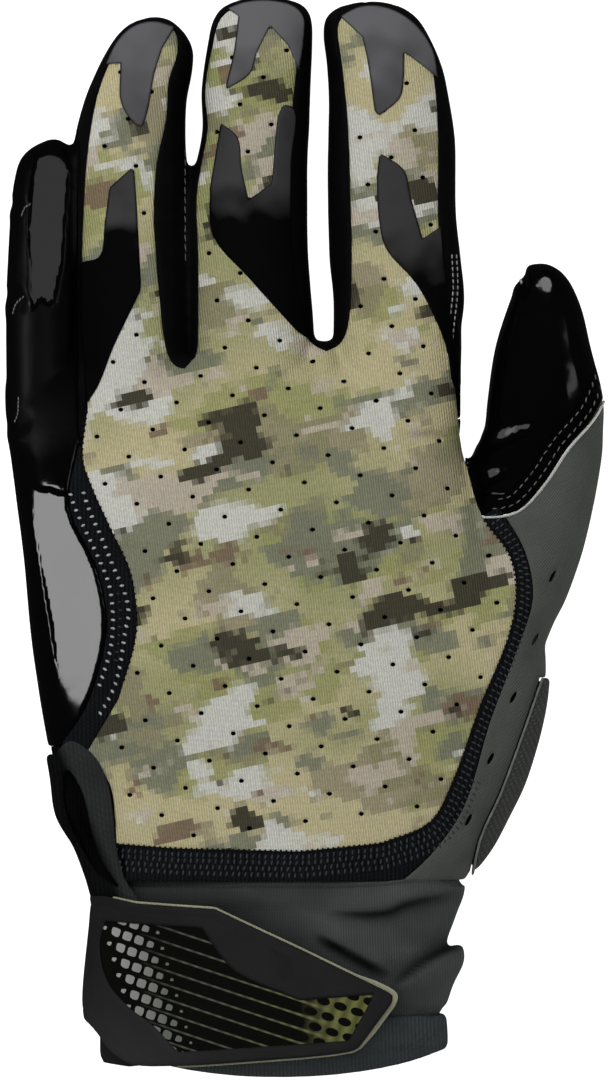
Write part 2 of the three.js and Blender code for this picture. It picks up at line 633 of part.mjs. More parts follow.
// A skin lies over the hand form, inside an outline
function skin(outline, thickness, low) {
  const base = handForm(-layerGap);
  return handForm(-layerGap - thickness).subtract(base).intersect(prism(outline, low));
}
for (const [name, outline] of Object.entries(overlayOutlines)) {
  addPiece(`overlay_${name}`, overlaySkin, skin(outline, overlayThickness, upper));
}
addPiece("thumb_piping", trimKhaki, skin(ribbon(thumbSeam, -pipingWidth), pipingThickness, upper));
const ventRim = skin(ventRimOutline, bindingThickness, upper)
  .subtract(prism(ventHollowOutline))
  .intersect(shellEnd);
addPiece("vent_binding", meshTape, ventRim);

// The cuff and its hem are open tubes
function tube(sections) {
  const outer = loft(cuffRows(sections), cuffSides, 0);
  const rows = cuffRows(sections);
  rows[0].y += cuffLength;
  rows[rows.length - 1].y -= cuffLength;
  return outer.subtract(loft(rows, cuffSides, cuffWall));
}
const cuffArea = [onCuff(-2, 0), onCuff(2, 0), onCuff(2, 2), onCuff(-2, 2)];
const cuffStart = prism(cuffArea.map(([x, y]) => [x, y - seamGap / 2]));
addPiece("wrist_cuff", cuffCloth, tube(cuffSections).intersect(cuffStart));
addPiece("cuff_hem", cuffCloth, tube(hemSections).intersect(prism(hemOutline)));

// Layers over the cuff, each a distance out from the form that the strap lies on
function strapLayer(from, thickness, outline, low) {
  const rows = cuffRows(strapSections);
  const outer = loft(rows, cuffSides, -from - thickness);
  return outer.subtract(loft(rows, cuffSides, -from)).intersect(prism(outline, low));
}
const backingFrom = strapThickness + layerGap;
const tabFrom = backingFrom + backingThickness + layerGap;
const floorThickness = tabThickness - windowDepth;
addPiece("wrist_strap", strapRubber, strapLayer(0, strapThickness, strapOutline, strapReachDown));
addPiece(
  "tab_backing",
  trimKhaki,
  strapLayer(backingFrom, backingThickness, grow(tabOutline, backingMargin), tabReachDown),
);
const tabBody = strapLayer(tabFrom, tabThickness, tabOutline, tabReachDown);
const recess = strapLayer(tabFrom + floorThickness, tabThickness, windowOutline, tabReachDown);
addPiece("strap_tab", strapRubber, tabBody.subtract(recess));
addPiece(
  "tab_inlay",
  windowGloss,
  strapLayer(
    tabFrom + floorThickness + layerGap,
    inlayThickness,
    grow(windowOutline, -seamGap),
    tabReachDown + seamGap,
  ),
);

// The origin is on the resting surface, under the middle of the glove
const extent = new THREE.Box3().setFromObject(glove);
const middle = extent.getCenter(new THREE.Vector3());
glove.position.set(-middle.x, -middle.y, -extent.min.z);

export default glove;
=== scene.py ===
# %% [markdown]
# A receiver glove for football, for the left hand. It lies palm down, so the camera
# looks at the back of the hand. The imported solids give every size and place. This file
# gives the glove its looks: one smooth hand form is cut into its sewn panels, and every
# panel gets its own cloth, skin or moulded film.

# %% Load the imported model
import math
from functools import partial
import bpy
import numpy as np
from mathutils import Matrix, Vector, noise
from mathutils.bvhtree import BVHTree


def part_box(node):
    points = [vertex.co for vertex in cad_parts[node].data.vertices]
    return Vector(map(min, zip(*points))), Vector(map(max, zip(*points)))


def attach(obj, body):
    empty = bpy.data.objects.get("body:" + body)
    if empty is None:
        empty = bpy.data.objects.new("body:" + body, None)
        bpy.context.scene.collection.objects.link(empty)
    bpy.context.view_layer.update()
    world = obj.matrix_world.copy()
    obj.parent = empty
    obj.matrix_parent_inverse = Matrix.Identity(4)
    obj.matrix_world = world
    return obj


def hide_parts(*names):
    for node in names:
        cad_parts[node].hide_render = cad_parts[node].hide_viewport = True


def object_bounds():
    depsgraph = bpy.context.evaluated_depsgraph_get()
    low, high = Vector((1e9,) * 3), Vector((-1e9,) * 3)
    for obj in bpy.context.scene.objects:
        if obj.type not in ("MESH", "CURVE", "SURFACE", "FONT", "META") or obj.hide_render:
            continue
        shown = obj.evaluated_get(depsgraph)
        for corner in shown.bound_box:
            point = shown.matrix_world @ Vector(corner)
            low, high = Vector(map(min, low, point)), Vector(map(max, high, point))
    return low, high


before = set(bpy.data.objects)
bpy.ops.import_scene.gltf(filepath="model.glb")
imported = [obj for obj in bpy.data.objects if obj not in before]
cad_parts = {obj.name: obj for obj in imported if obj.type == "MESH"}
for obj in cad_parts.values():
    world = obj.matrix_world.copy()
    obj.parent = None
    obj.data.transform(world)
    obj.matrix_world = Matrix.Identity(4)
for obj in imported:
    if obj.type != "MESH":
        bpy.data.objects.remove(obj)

cad_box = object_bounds()
scene = bpy.context.scene
print("nodes", len(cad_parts), "box", [tuple(round(v, 4) for v in c) for c in cad_box])

# %% [markdown]
# A glove maker works in millimetres, so the shapes here do too, and they are turned into
# metres when a mesh is made. The hand's own origin is the middle of the wrist line. It is
# found from the frame: the hem's box gives it across, and the middle fingertip along.

# %% Sizes and the hand's place
mm = 0.001
half_palm = 97 / 2
palm_length = 109
palm_height = 30
half_wrist = 74.5 / 2
wrist_height = 34
cuff_length = 41
middle_finger_length = 76.4
wrist_centre = 0.18 * half_palm
hem_lean = 0.01

hem_low, hem_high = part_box("cuff_hem")
hand_x = (hem_low.x + hem_high.x) / 2 / mm - wrist_centre - hem_lean * half_wrist
hand_y = cad_box[1].y / mm - palm_length - middle_finger_length
print("hand origin in mm", round(hand_x, 2), round(hand_y, 2))


def on_palm(across, along):
    return (hand_x + across * half_palm, hand_y + along * palm_length)


def on_cuff(across, along):
    return (hand_x + wrist_centre + across * half_wrist, hand_y - along * cuff_length)

# %% [markdown]
# Each finger stall is a tube of soft cloth. Its sections are written as shares of its own
# width, length and height: how far along, the left and right edge, the underside and the
# top. About twelve sections and a smooth curve through them are easier to read and
# to correct than a sculpted mesh.

# %% The finger stalls as sections
digits = {
    "little": dict(root=on_palm(-0.833, 1), length=46.4, width=16, height=15.5, rows=[
        (-0.7, -0.5, 1.1, 0, 1.1), (-0.35, -0.9, 1.05, 0, 1.08), (0, -1, 1, 0, 1),
        (0.31, -1, 1, 0, 1), (0.63, -0.9, 1, 0, 0.98), (0.81, -0.8, 0.97, 0, 0.95),
        (0.905, -0.66, 0.9, 0.03, 0.88), (0.95, -0.47, 0.8, 0.08, 0.79),
        (0.982, -0.2, 0.62, 0.18, 0.67), (1, 0.05, 0.45, 0.3, 0.54)]),
    "ring": dict(root=on_palm(-0.456, 1), length=72, width=23.5, height=19, rows=[
        (-0.2, -0.91, 1.05, 0, 1.1), (0, -0.93, 1, 0, 1.02), (0.29, -1.04, 1.07, 0, 1),
        (0.47, -1.04, 1.05, 0, 1), (0.64, -1.02, 0.99, 0, 0.97), (0.76, -0.84, 1, 0, 0.94),
        (0.85, -0.61, 1.1, 0, 0.91), (0.91, -0.42, 1.11, 0.03, 0.86),
        (0.95, -0.26, 1.0, 0.08, 0.8), (0.98, -0.08, 0.84, 0.16, 0.7),
        (1, 0.16, 0.66, 0.28, 0.54)]),
    "middle": dict(root=on_palm(0.061, 1), length=middle_finger_length, width=24.8, height=19.5,
                   rows=[
        (-0.2, -0.93, 1.08, 0, 1.1), (0, -0.98, 1.1, 0, 1.02), (0.275, -1.08, 1, 0, 1),
        (0.445, -1.07, 0.97, 0, 1), (0.54, -0.93, 0.97, 0, 0.99), (0.64, -0.82, 1, 0, 0.97),
        (0.74, -0.83, 1.02, 0, 0.95), (0.865, -0.73, 1.06, 0, 0.91),
        (0.935, -0.64, 1.05, 0.04, 0.84), (0.97, -0.5, 0.96, 0.11, 0.75),
        (0.99, -0.26, 0.76, 0.2, 0.64), (1, -0.02, 0.46, 0.3, 0.54)]),
    "index": dict(root=on_palm(0.685, 1), length=75.2, width=26.9, height=19, rows=[
        (-0.2, -0.88, 1.04, 0, 1.08), (0, -0.95, 1.05, 0, 1.02), (0.165, -0.95, 1.11, 0, 1),
        (0.285, -1.02, 1.05, 0, 1), (0.4, -1.04, 0.97, 0, 1), (0.62, -1.03, 0.95, 0, 0.98),
        (0.73, -1.02, 0.86, 0, 0.95), (0.825, -1.05, 0.75, 0, 0.92),
        (0.91, -1.11, 0.55, 0.03, 0.86),
        (0.955, -1.08, 0.39, 0.08, 0.79), (0.985, -0.92, 0.18, 0.18, 0.67),
        (1, -0.66, -0.06, 0.3, 0.54)]),
    "thumb": dict(root=on_palm(1.34, 0.46), length=79, width=25, height=20, rows=[
        (-0.25, -1.2, -0.6, 0, 0.9), (-0.06, -1.35, -0.13, 0, 1.12), (0.05, -1.35, 0.15, 0, 1.18),
        (0.106, -1.3, 0.33, 0, 1.2), (0.222, -1.3, 0.6, 0, 1.18), (0.36, -1.28, 0.81, 0, 1.12),
        (0.463, -1.28, 0.93, 0, 1.06), (0.508, -1.2, 0.97, 0, 1.03), (0.556, -1.04, 0.98, 0, 1),
        (0.64, -0.97, 0.98, 0, 0.98), (0.783, -0.84, 0.77, 0, 0.93),
        (0.886, -0.64, 0.61, 0.03, 0.86),
        (0.955, -0.46, 0.42, 0.1, 0.76), (0.985, -0.36, 0.26, 0.18, 0.66),
        (1, -0.24, 0.1, 0.28, 0.54)]),
}
print("digits", {name: digit["length"] for name, digit in digits.items()})

# %% [markdown]
# The palm, the wrist, the cuff, the hem and the strap are tubes of the same kind. Their
# sections are shares of the palm's and the cuff's own sizes, so a change of one size
# carries them all along.

# %% The palm, the cuff and the strap as sections
palm_rows = [
    (1.01, -0.97, 0.96, 0, 0.48), (0.96, -1, 0.975, 0, 0.65), (0.885, -0.995, 0.968, 0, 0.76),
    (0.796, -0.97, 0.998, 0, 0.84), (0.73, -0.95, 1.06, 0, 0.89), (0.635, -0.925, 1.19, 0, 0.94),
    (0.54, -0.905, 1.3, 0, 0.97), (0.44, -0.88, 1.34, 0, 0.99), (0.346, -0.85, 1.33, 0, 1),
    (0.2, -0.79, 1.245, 0, 1), (0.127, -0.765, 1.17, 0, 1.01),
    (0.067, -0.69, 1.1, 0, 1.02)]
web_rows = [
    (1.038, 0.35, 0.405, 0.14, 0.4), (1.031, 0.31, 0.445, 0.08, 0.47), (1.015, 0.3, 0.46, 0, 0.54),
    (0.97, 0.28, 0.48, 0, 0.62)]
wrist_rows = [(0, -1.056, 1.05, 0, 0.92), (0.08, -1.03, 1, 0, 0.93), (0.17, -0.99, 0.95, 0, 0.93)]
cuff_rows = [
    (0, -0.93, 1.05, 0, 0.92), (0.03, -0.93, 1.068, 0, 0.955), (0.086, -0.92, 1.06, 0, 0.97),
    (0.16, -0.91, 1.03, 0, 0.953), (0.223, -0.9, 1.005, 0, 0.95), (0.325, -0.91, 0.965, 0, 0.95),
    (0.37, -0.93, 0.985, 0, 0.953), (0.5, -0.95, 0.985, 0, 0.955), (0.624, -0.94, 0.965, 0, 0.95),
    (0.67, -0.93, 0.93, 0, 0.935), (0.72, -0.93, 0.91, 0, 0.92)]
hem_rows = [
    (0.65, -0.93, 0.92, 0, 0.93), (0.7, -0.94, 0.95, 0, 0.975), (0.817, -0.94, 0.96, 0, 1),
    (0.878, -0.93, 0.95, 0, 0.985), (1.02, -0.9, 0.9, 0, 0.95)]
strap_rows = [
    (-0.1, -1.0, 1.13, 0, 1), (0.09, -0.93, 1.1, 0, 0.995), (0.2, -0.935, 1.07, 0, 0.99),
    (0.6, -0.975, 1.03, 0, 0.99), (0.72, -0.965, 1.02, 0, 1.015), (1.1, -0.965, 1.02, 0, 1.015)]


def in_mm(rows, point, height):
    """Sections in millimetres: y, left, right, underside and top."""
    out = []
    for along, left, right, under, over in rows:
        x0, y = point(left, along)
        x1, _ = point(right, along)
        out.append((y, x0, x1, under * height, over * height))
    return out


def on_digit(name, along, across):
    digit = digits[name]
    x, y = digit["root"]
    return (x + across * digit["width"] / 2, y + along * digit["length"])


print("palm sections", len(palm_rows), "cuff sections", len(cuff_rows))

# %% [markdown]
# A sleeve is the tube through such sections. Every section is a rounded oval, fuller
# below its widest line and flat where the soft glove rests on the table. A grid primitive
# is rolled up into the tube, ring by ring, because that keeps the faces even.

# %% Roll a grid into a sleeve
belly_share = 0.42
upper_fullness = 2.3
lower_fullness = 2.8
resting_flat = 1.14


def curve(points, steps=4):
    """A smooth line through a few points, or more sections between a few sections."""
    pts = np.array(points, float)
    pts = np.vstack([2 * pts[0] - pts[1], pts, 2 * pts[-1] - pts[-2]])
    out = []
    for k in range(len(points) - 1):
        a, b, c, d = pts[k:k + 4]
        knots = [0.0]
        for p, q in ((a, b), (b, c), (c, d)):
            knots.append(knots[-1] + max(np.linalg.norm(q - p), 1e-6) ** 0.5)
        t0, t1, t2, t3 = knots
        for t in np.linspace(t1, t2, steps, endpoint=False):
            a1 = (t1 - t) / (t1 - t0) * a + (t - t0) / (t1 - t0) * b
            a2 = (t2 - t) / (t2 - t1) * b + (t - t1) / (t2 - t1) * c
            a3 = (t3 - t) / (t3 - t2) * c + (t - t2) / (t3 - t2) * d
            b1 = (t2 - t) / (t2 - t0) * a1 + (t - t0) / (t2 - t0) * a2
            b2 = (t3 - t) / (t3 - t1) * a2 + (t - t1) / (t3 - t1) * a3
            out.append(tuple((t2 - t) / (t2 - t1) * b1 + (t - t1) / (t2 - t1) * b2))
    out.append(tuple(points[-1]))
    return out


def section_points(row, around):
    y, left, right, under, over = row
    turn = 2 * np.pi * np.arange(around) / around
    cos, sin = np.cos(turn), np.sin(turn)
    power = np.where(sin > 0, 2 / upper_fullness, 2 / lower_fullness)
    belly = under + (over - under) * belly_share
    x = (left + right) / 2 + (right - left) / 2 * np.sign(cos) * np.abs(cos) ** power
    rise = np.abs(sin) ** power
    z = np.where(sin > 0, belly + (over - belly) * rise,
                 belly - (belly - under) * resting_flat * rise)
    return np.column_stack([x, np.full(around, y), np.maximum(z, under)])


def select_only(piece):
    bpy.ops.object.select_all(action="DESELECT")
    piece.select_set(True)
    bpy.context.view_layer.objects.active = piece


def sleeve(name, rows, steps, around, closed):
    """A grid primitive rolled into the tube through the sections, in metres."""
    rings = np.array(curve(rows, steps))
    bpy.ops.object.select_all(action="DESELECT")
    bpy.ops.mesh.primitive_grid_add(x_subdivisions=around, y_subdivisions=len(rings) - 1, size=1)
    piece = bpy.context.object
    piece.name = name
    place = np.zeros(((around + 1) * len(rings), 3))
    for k, row in enumerate(rings):
        ring = section_points(row, around)
        place[k * (around + 1):(k + 1) * (around + 1)] = np.vstack([ring, ring[:1]])
    piece.data.vertices.foreach_set("co", (place * mm).ravel())
    piece.data.update()
    bpy.ops.object.mode_set(mode="EDIT")
    bpy.ops.mesh.select_all(action="SELECT")
    bpy.ops.mesh.remove_doubles(threshold=1e-7)
    if closed:
        bpy.ops.mesh.select_all(action="DESELECT")
        bpy.ops.mesh.select_non_manifold()
        bpy.ops.mesh.fill_holes(sides=0)
    bpy.ops.mesh.select_all(action="SELECT")
    bpy.ops.mesh.normals_make_consistent(inside=False)
    bpy.ops.object.mode_set(mode="OBJECT")
    return piece


print("a curve through three points has", len(curve([(0, 0), (1, 1), (2, 0)])), "points")

# %% [markdown]
# The five stalls, the web between two fingers and the palm are rolled like this. Every
# stall gets one more small section past its end, so that the fingertip closes round.

# %% Roll the stalls and the palm
tip_steps = 6
tip_cap = 0.4
stall_facets = 48
palm_facets = 96
parts = []
for name, digit in digits.items():
    x, y = digit["root"]
    half = digit["width"] / 2
    rows = [(y + r[0] * digit["length"], x + r[1] * half, x + r[2] * half,
             r[3] * digit["height"], r[4] * digit["height"]) for r in digit["rows"]]
    end = rows[-1]
    middle_x = (end[1] + end[2]) / 2
    middle_z = (end[3] + end[4]) / 2
    rows.append((end[0] + tip_cap, (end[1] + middle_x) / 2, (end[2] + middle_x) / 2,
                 (end[3] + middle_z) / 2, (end[4] + middle_z) / 2))
    parts.append(sleeve(name + "_stall", rows, tip_steps, stall_facets, True))
web_in_mm = in_mm(web_rows, on_palm, palm_height)
parts.append(sleeve("finger_web", web_in_mm, tip_steps, stall_facets, True))
palm_in_mm = in_mm(palm_rows, on_palm, palm_height) + in_mm(wrist_rows, on_cuff, wrist_height)
parts.append(sleeve("palm_body", palm_in_mm, tip_steps, palm_facets, True))
print("sleeves", [p.name for p in parts])

# %% [markdown]
# The stalls and the palm are sewn into one another without a step. Here they are joined,
# and a voxel remesh makes one skin of them. A few rounds of smoothing then soften the
# valleys at the finger roots, as stretched cloth does.

# %% Fuse the stalls and the palm into one hand form
voxel = 0.7
soften_rounds = 7
bpy.ops.object.select_all(action="DESELECT")
for part in parts:
    part.select_set(True)
bpy.context.view_layer.objects.active = parts[0]
bpy.ops.object.join()
hand = bpy.context.object
hand.name = "hand_form"
modifier = hand.modifiers.new("one_skin", "REMESH")
modifier.mode = "VOXEL"
modifier.voxel_size = voxel * mm
bpy.ops.object.modifier_apply(modifier="one_skin")
modifier = hand.modifiers.new("soften", "SMOOTH")
modifier.factor = 0.5
modifier.iterations = soften_rounds
bpy.ops.object.modifier_apply(modifier="soften")
modifier = hand.modifiers.new("triangles", "TRIANGULATE")
bpy.ops.object.modifier_apply(modifier="triangles")


def points_of(piece):
    """The points of a mesh in millimetres."""
    points = np.empty(len(piece.data.vertices) * 3)
    piece.data.vertices.foreach_get("co", points)
    return points.reshape(-1, 3) / mm


def read_mesh(piece):
    """The points of a mesh and its triangles."""
    corners = np.empty(len(piece.data.polygons) * 3, np.int64)
    piece.data.polygons.foreach_get("vertices", corners)
    return points_of(piece), corners.reshape(-1, 3)


def normals_of(points, faces):
    a, b, c = points[faces[:, 0]], points[faces[:, 1]], points[faces[:, 2]]
    flat = np.cross(b - a, c - a)
    out = np.zeros_like(points)
    for k in range(3):
        np.add.at(out, faces[:, k], flat)
    return out / np.maximum(np.linalg.norm(out, axis=1, keepdims=True), 1e-12)


hand_points, hand_faces = read_mesh(hand)
bpy.data.objects.remove(hand)
print("hand form", len(hand_points), "points", len(hand_faces), "triangles")

# %% [markdown]
# Seen from above, every panel has an outline. Round stretches run through a few points on
# a smooth curve. The distance to an outline, negative inside it, is all that is needed to
# cut a panel out and to know how far each of its points is from the seam.

# %% The distance to an outline


def offset_line(line, distance):
    """The line moved sideways, to its left as it runs."""
    pts = np.array(line)
    run = np.gradient(pts, axis=0)
    run /= np.linalg.norm(run, axis=1, keepdims=True)
    return pts + np.column_stack([-run[:, 1], run[:, 0]]) * distance


def ribbon(line, width):
    """A band of even width along a line, to its right as the line runs."""
    return [tuple(p) for p in np.vstack([np.array(line), offset_line(line, -width)[::-1]])]


def distance_to(outline, points):
    """Distance in the plane to a closed outline, negative inside it."""
    line = np.array(outline)
    nxt = np.roll(line, -1, axis=0)
    px, py = points[:, 0], points[:, 1]
    best = np.full(len(points), 1e9)
    inside = np.zeros(len(points), bool)
    for (ax, ay), (bx, by) in zip(line, nxt):
        dx, dy = bx - ax, by - ay
        share = np.clip(((px - ax) * dx + (py - ay) * dy) / max(dx * dx + dy * dy, 1e-12), 0, 1)
        best = np.minimum(best, (px - ax - share * dx) ** 2 + (py - ay - share * dy) ** 2)
        crosses = (ay > py) != (by > py)
        if dy:
            inside ^= crosses & (px < ax + (py - ay) * dx / dy)
    return np.where(inside, -1, 1) * np.sqrt(best)


square = [(0, 0), (2, 0), (2, 2), (0, 2)]
print("the middle of a square lies at", distance_to(square, np.array([(1.0, 1.0)])))

# %% [markdown]
# The knit back is one piece of cloth from the wrist to three fingertips. Its outline is
# written in shares of the palm and of each finger, so it stays in place when one of them
# gets longer.

# %% The outline of the knit back


def spots(where, *shares):
    """Points on the palm, the cuff or a finger, each given by two shares of its size."""
    return [where(*pair) for pair in shares]


def smooth_runs(where, *runs):
    """Curves through runs of points, joined with sharp corners between them."""
    out = []
    for run in runs:
        out += curve(spots(where, *run))
    return out


little_at, ring_at, middle_at, index_at, thumb_at = [partial(on_digit, name) for name in digits]
back_right = curve(spots(
    on_palm, (0.972, 0.865), (1.002, 0.796), (1.063, 0.7), (1.184, 0.625), (1.212, 0.55),
    (1.176, 0.465), (1.054, 0.333), (0.946, 0.2), (0.842, 0.114), (0.625, 0.073)))
back_foot = spots(on_palm, (0.278, 0.058), (-0.26, 0.0635), (-0.52, 0.071))
back_left = smooth_runs(
    on_palm,
    [(-0.52, 0.11), (-0.545, 0.185), (-0.646, 0.248)],
    [(-0.508, 0.35), (-0.43, 0.48), (-0.4555, 0.592), (-0.538, 0.673), (-0.625, 0.758),
     (-0.664, 0.813), (-0.642, 0.91)])
back_ring = curve(spots(
    ring_at, (0.087, -0.84), (0.286, -0.89), (0.38, -0.875), (0.583, -0.8), (0.767, -0.625),
    (0.87, -0.4), (0.93, -0.22), (0.968, 0.06), (0.985, 0.4), (0.965, 0.8), (0.9, 0.86),
    (0.816, 0.7), (0.706, 0.66), (0.571, 0.48), (0.408, 0.43), (0.286, 0.48), (0.175, 0.54),
    (0.07, 0.61), (0.01, 0.71), (-0.013, 0.82), (-0.02, 0.96)), 3)
back_middle = curve(spots(
    middle_at, (0.012, -0.945), (0.04, -0.91), (0.13, -0.9), (0.3, -0.9), (0.44, -0.93),
    (0.53, -0.86), (0.643, -0.74), (0.742, -0.79), (0.865, -0.66), (0.93, -0.56), (0.962, -0.4),
    (0.98, -0.1), (0.985, 0.3), (0.97, 0.7), (0.94, 0.87), (0.879, 0.87), (0.79, 0.8), (0.7, 0.74),
    (0.538, 0.67), (0.275, 0.7), (0.137, 0.86), (0.069, 0.97), (0.04, 1.15)), 3)
back_index = curve(spots(
    index_at, (0.03, -1.05), (0.05, -0.86), (0.098, -0.74), (0.285, -0.68), (0.455, -0.7),
    (0.642, -0.734), (0.824, -0.83), (0.93, -0.9), (0.966, -0.8), (0.985, -0.5), (0.98, -0.12),
    (0.94, 0.26), (0.869, 0.55), (0.754, 0.66), (0.615, 0.7), (0.4, 0.7), (0.274, 0.75),
    (0.14, 0.84), (-0.028, 0.95)), 3)
back_outline = back_left + back_ring + back_middle + back_index + back_right + back_foot
print("back outline points", len(back_outline))

# %% [markdown]
# The other panels need a true outline only where it shows. Under a panel that lies on top
# they reach in as far as they like, because each one is cut clear of those before it.

# %% The outlines of the other panels
edge_tape_inner = curve(spots(
    on_palm, (-0.68, 0.84), (-0.722, 0.72), (-0.6, 0.6), (-0.557, 0.5), (-0.59, 0.408),
    (-0.66, 0.325), (-0.76, 0.262)))
edge_tape_outline = edge_tape_inner + spots(
    on_palm, (-0.64, 0.244), (-0.3, 0.36), (-0.3, 0.6), (-0.55, 0.82))
border_tape_edge = curve(spots(
    on_palm, (1.132, 0.72), (1.245, 0.635), (1.283, 0.545), (1.22, 0.45), (1.098, 0.306),
    (0.985, 0.142), (0.84, 0.05), (0.66, -0.02)))
border_tape_outline = spots(on_palm, (0.9, 0.71), (1.063, 0.703))
border_tape_outline += border_tape_edge + spots(
    on_palm, (0.6, -0.1), (-0.477, -0.1), (-0.477, 0.01), (-0.5, 0.09), (0.5, 0.2))
thumb_seam = curve(spots(
    thumb_at, (0.73, 1.2), (0.6, 0.84), (0.51, 0.353), (0.415, -0.05), (0.345, -0.5),
    (0.333, -1.06), (0.345, -1.5)))
thumb_outline = thumb_seam + [
    thumb_at(0.47, -1.45), on_palm(0.96, 0.89), on_palm(1.06, 0.89), thumb_at(0.6, -1.12),
    thumb_at(1.1, -1.12), thumb_at(1.1, 1.3)]
heel_inner = curve(spots(
    on_palm, (1.319, 0.39), (1.245, 0.294), (1.141, 0.169), (1.05, 0.079), (1.0, -0.03)))
heel_outline = heel_inner + spots(on_palm, (1.6, -0.03), (1.6, 0.39))
vent_outline = spots(on_palm, (-1.3, 0.257), (-0.5, 0.257), (-0.3, -0.1), (-1.3, -0.1))
little_outline = [
    on_palm(-1.3, 0.257), on_palm(-0.55, 0.257), on_palm(-0.5, 0.6), on_palm(-0.63, 0.775),
    ring_at(-0.2, -0.94), ring_at(0, -0.95), ring_at(0.5, -0.97),
    little_at(1.1, 0.87), little_at(1.1, -1.6)]
gusset_outline = spots(on_palm, (0.5, -0.1), (2, -0.1), (2, 0.95), (0.94, 0.95))
side_outlines = {
    "side_little_ring": [
        on_palm(-0.8, 0.8), on_palm(-0.6, 0.8), ring_at(0.3, 0), ring_at(0.98, 0.2),
        ring_at(1.1, 0.2), ring_at(1.1, -1.4), ring_at(0.3, -1.4)],
    "side_ring_middle": [
        ring_at(-0.3, 0.4), ring_at(0.9, 0.2), ring_at(1.1, 0.2), middle_at(1.1, 0.1),
        middle_at(0.9, 0.1), middle_at(-0.3, -0.4)],
    "side_middle_index": [
        middle_at(-0.3, 0.4), middle_at(0.9, 0.1), middle_at(1.1, 0.1), index_at(1.1, -0.45),
        index_at(0.9, -0.45), index_at(-0.3, -0.4)],
    "side_index": [
        index_at(-0.3, 0.4), index_at(0.9, -0.45), index_at(1.1, -0.45), index_at(1.1, 1.4),
        index_at(0.3, 1.4), on_palm(1.06, 0.88), on_palm(0.9, 0.88)],
}
vent_rim_outline = curve(spots(
    on_palm, (-0.787, 0.243), (-0.715, 0.27), (-0.651, 0.258), (-0.592, 0.232), (-0.549, 0.187),
    (-0.524, 0.127), (-0.513, 0.069), (-0.473, 0.004), (-0.427, -0.027), (-0.4, -0.05)))
vent_rim_outline += spots(on_palm, (-1.3, -0.05), (-1.3, 0.243))
vent_hollow = smooth_runs(
    on_palm,
    [(-0.743, 0.205), (-0.721, 0.212), (-0.664, 0.174), (-0.635, 0.127), (-0.614, 0.085),
     (-0.578, 0.04), (-0.505, -0.008)],
    [(-0.505, -0.012), (-0.592, 0.015), (-0.65, 0.053), (-0.715, 0.111), (-0.743, 0.159),
     (-0.743, 0.205)])
print("side walls", list(side_outlines))

# %% [markdown]
# Soft cloth is never perfectly round. A little slow noise gives the hand form its lumps,
# and a short table of creases gives the wrinkles that show on the glossy thumb, on the
# little finger and at the finger roots. Each crease is a groove between two points, with
# a soft ridge beside it.

# %% Wrinkle the hand form
lump_height = 0.16
lump_size = 14.0
ripple_height = 0.025
ripple_size = 4.5
crease_end = 0.3
crease_ridge = 0.45
still_height = 2
moving_height = 4
creases = [
    dict(a=thumb_at(0.515, -1.1), b=thumb_at(0.575, -0.05), depth=1.0, width=1.1),
    dict(a=thumb_at(0.41, -1.3), b=thumb_at(0.465, -0.4), depth=0.7, width=1.1),
    dict(a=thumb_at(1.02, -0.42), b=thumb_at(0.9, -0.33), depth=0.6, width=0.9),
    dict(a=little_at(0.74, -0.9), b=little_at(0.67, -0.45), depth=0.4, width=1.2),
    dict(a=little_at(0.34, -1), b=little_at(0.22, -0.4), depth=0.5, width=1.5),
    dict(a=little_at(-0.25, -1), b=little_at(-0.3, -0.3), depth=0.4, width=1.8),
    dict(a=little_at(-0.1, 0.85), b=little_at(0.55, 0.9), depth=0.5, width=1.0),
    dict(a=ring_at(0.0, -1.0), b=ring_at(0.32, -0.9), depth=0.45, width=0.8),
    dict(a=index_at(0.02, 1.12), b=index_at(0.3, 0.95), depth=0.4, width=0.8),
]


def crease_depth(points, crease):
    (ax, ay), (bx, by) = crease["a"], crease["b"]
    dx, dy = bx - ax, by - ay
    length = math.hypot(dx, dy)
    along = ((points[:, 0] - ax) * dx + (points[:, 1] - ay) * dy) / length
    aside = ((points[:, 0] - ax) * dy - (points[:, 1] - ay) * dx) / length
    end = crease_end * length
    fade = np.clip(along / end, 0, 1) * np.clip((length - along) / end, 0, 1)
    aside = aside / crease["width"]
    groove = np.exp(-aside ** 2) - crease_ridge * np.exp(-((np.abs(aside) - 2) / 0.9) ** 2)
    return crease["depth"] * groove * fade


def lumps(points, height, size, seed):
    offset = Vector((seed, seed * 0.37, seed * 0.11))
    return height * np.array([noise.noise(Vector(p) / size + offset) for p in points])


normals = normals_of(hand_points, hand_faces)
upper_share = np.clip((hand_points[:, 2] - still_height) / moving_height, 0, 1)
push = lumps(hand_points, lump_height, lump_size, 3.1)
push += lumps(hand_points, ripple_height, ripple_size, 8.3)
for crease in creases:
    push -= crease_depth(hand_points, crease)
hand_points = hand_points + normals * (push * upper_share)[:, None]
print("wrinkled by", round(float(push.min()), 2), "to", round(float(push.max()), 2), "mm")

# %% [markdown]
# An empty stall also lies flat in places, which makes the even grey reflections. So two
# facets are pressed into the form. Each is a plane through three points of the surface,
# and what stands over it inside the facet's outline is pushed down to it.

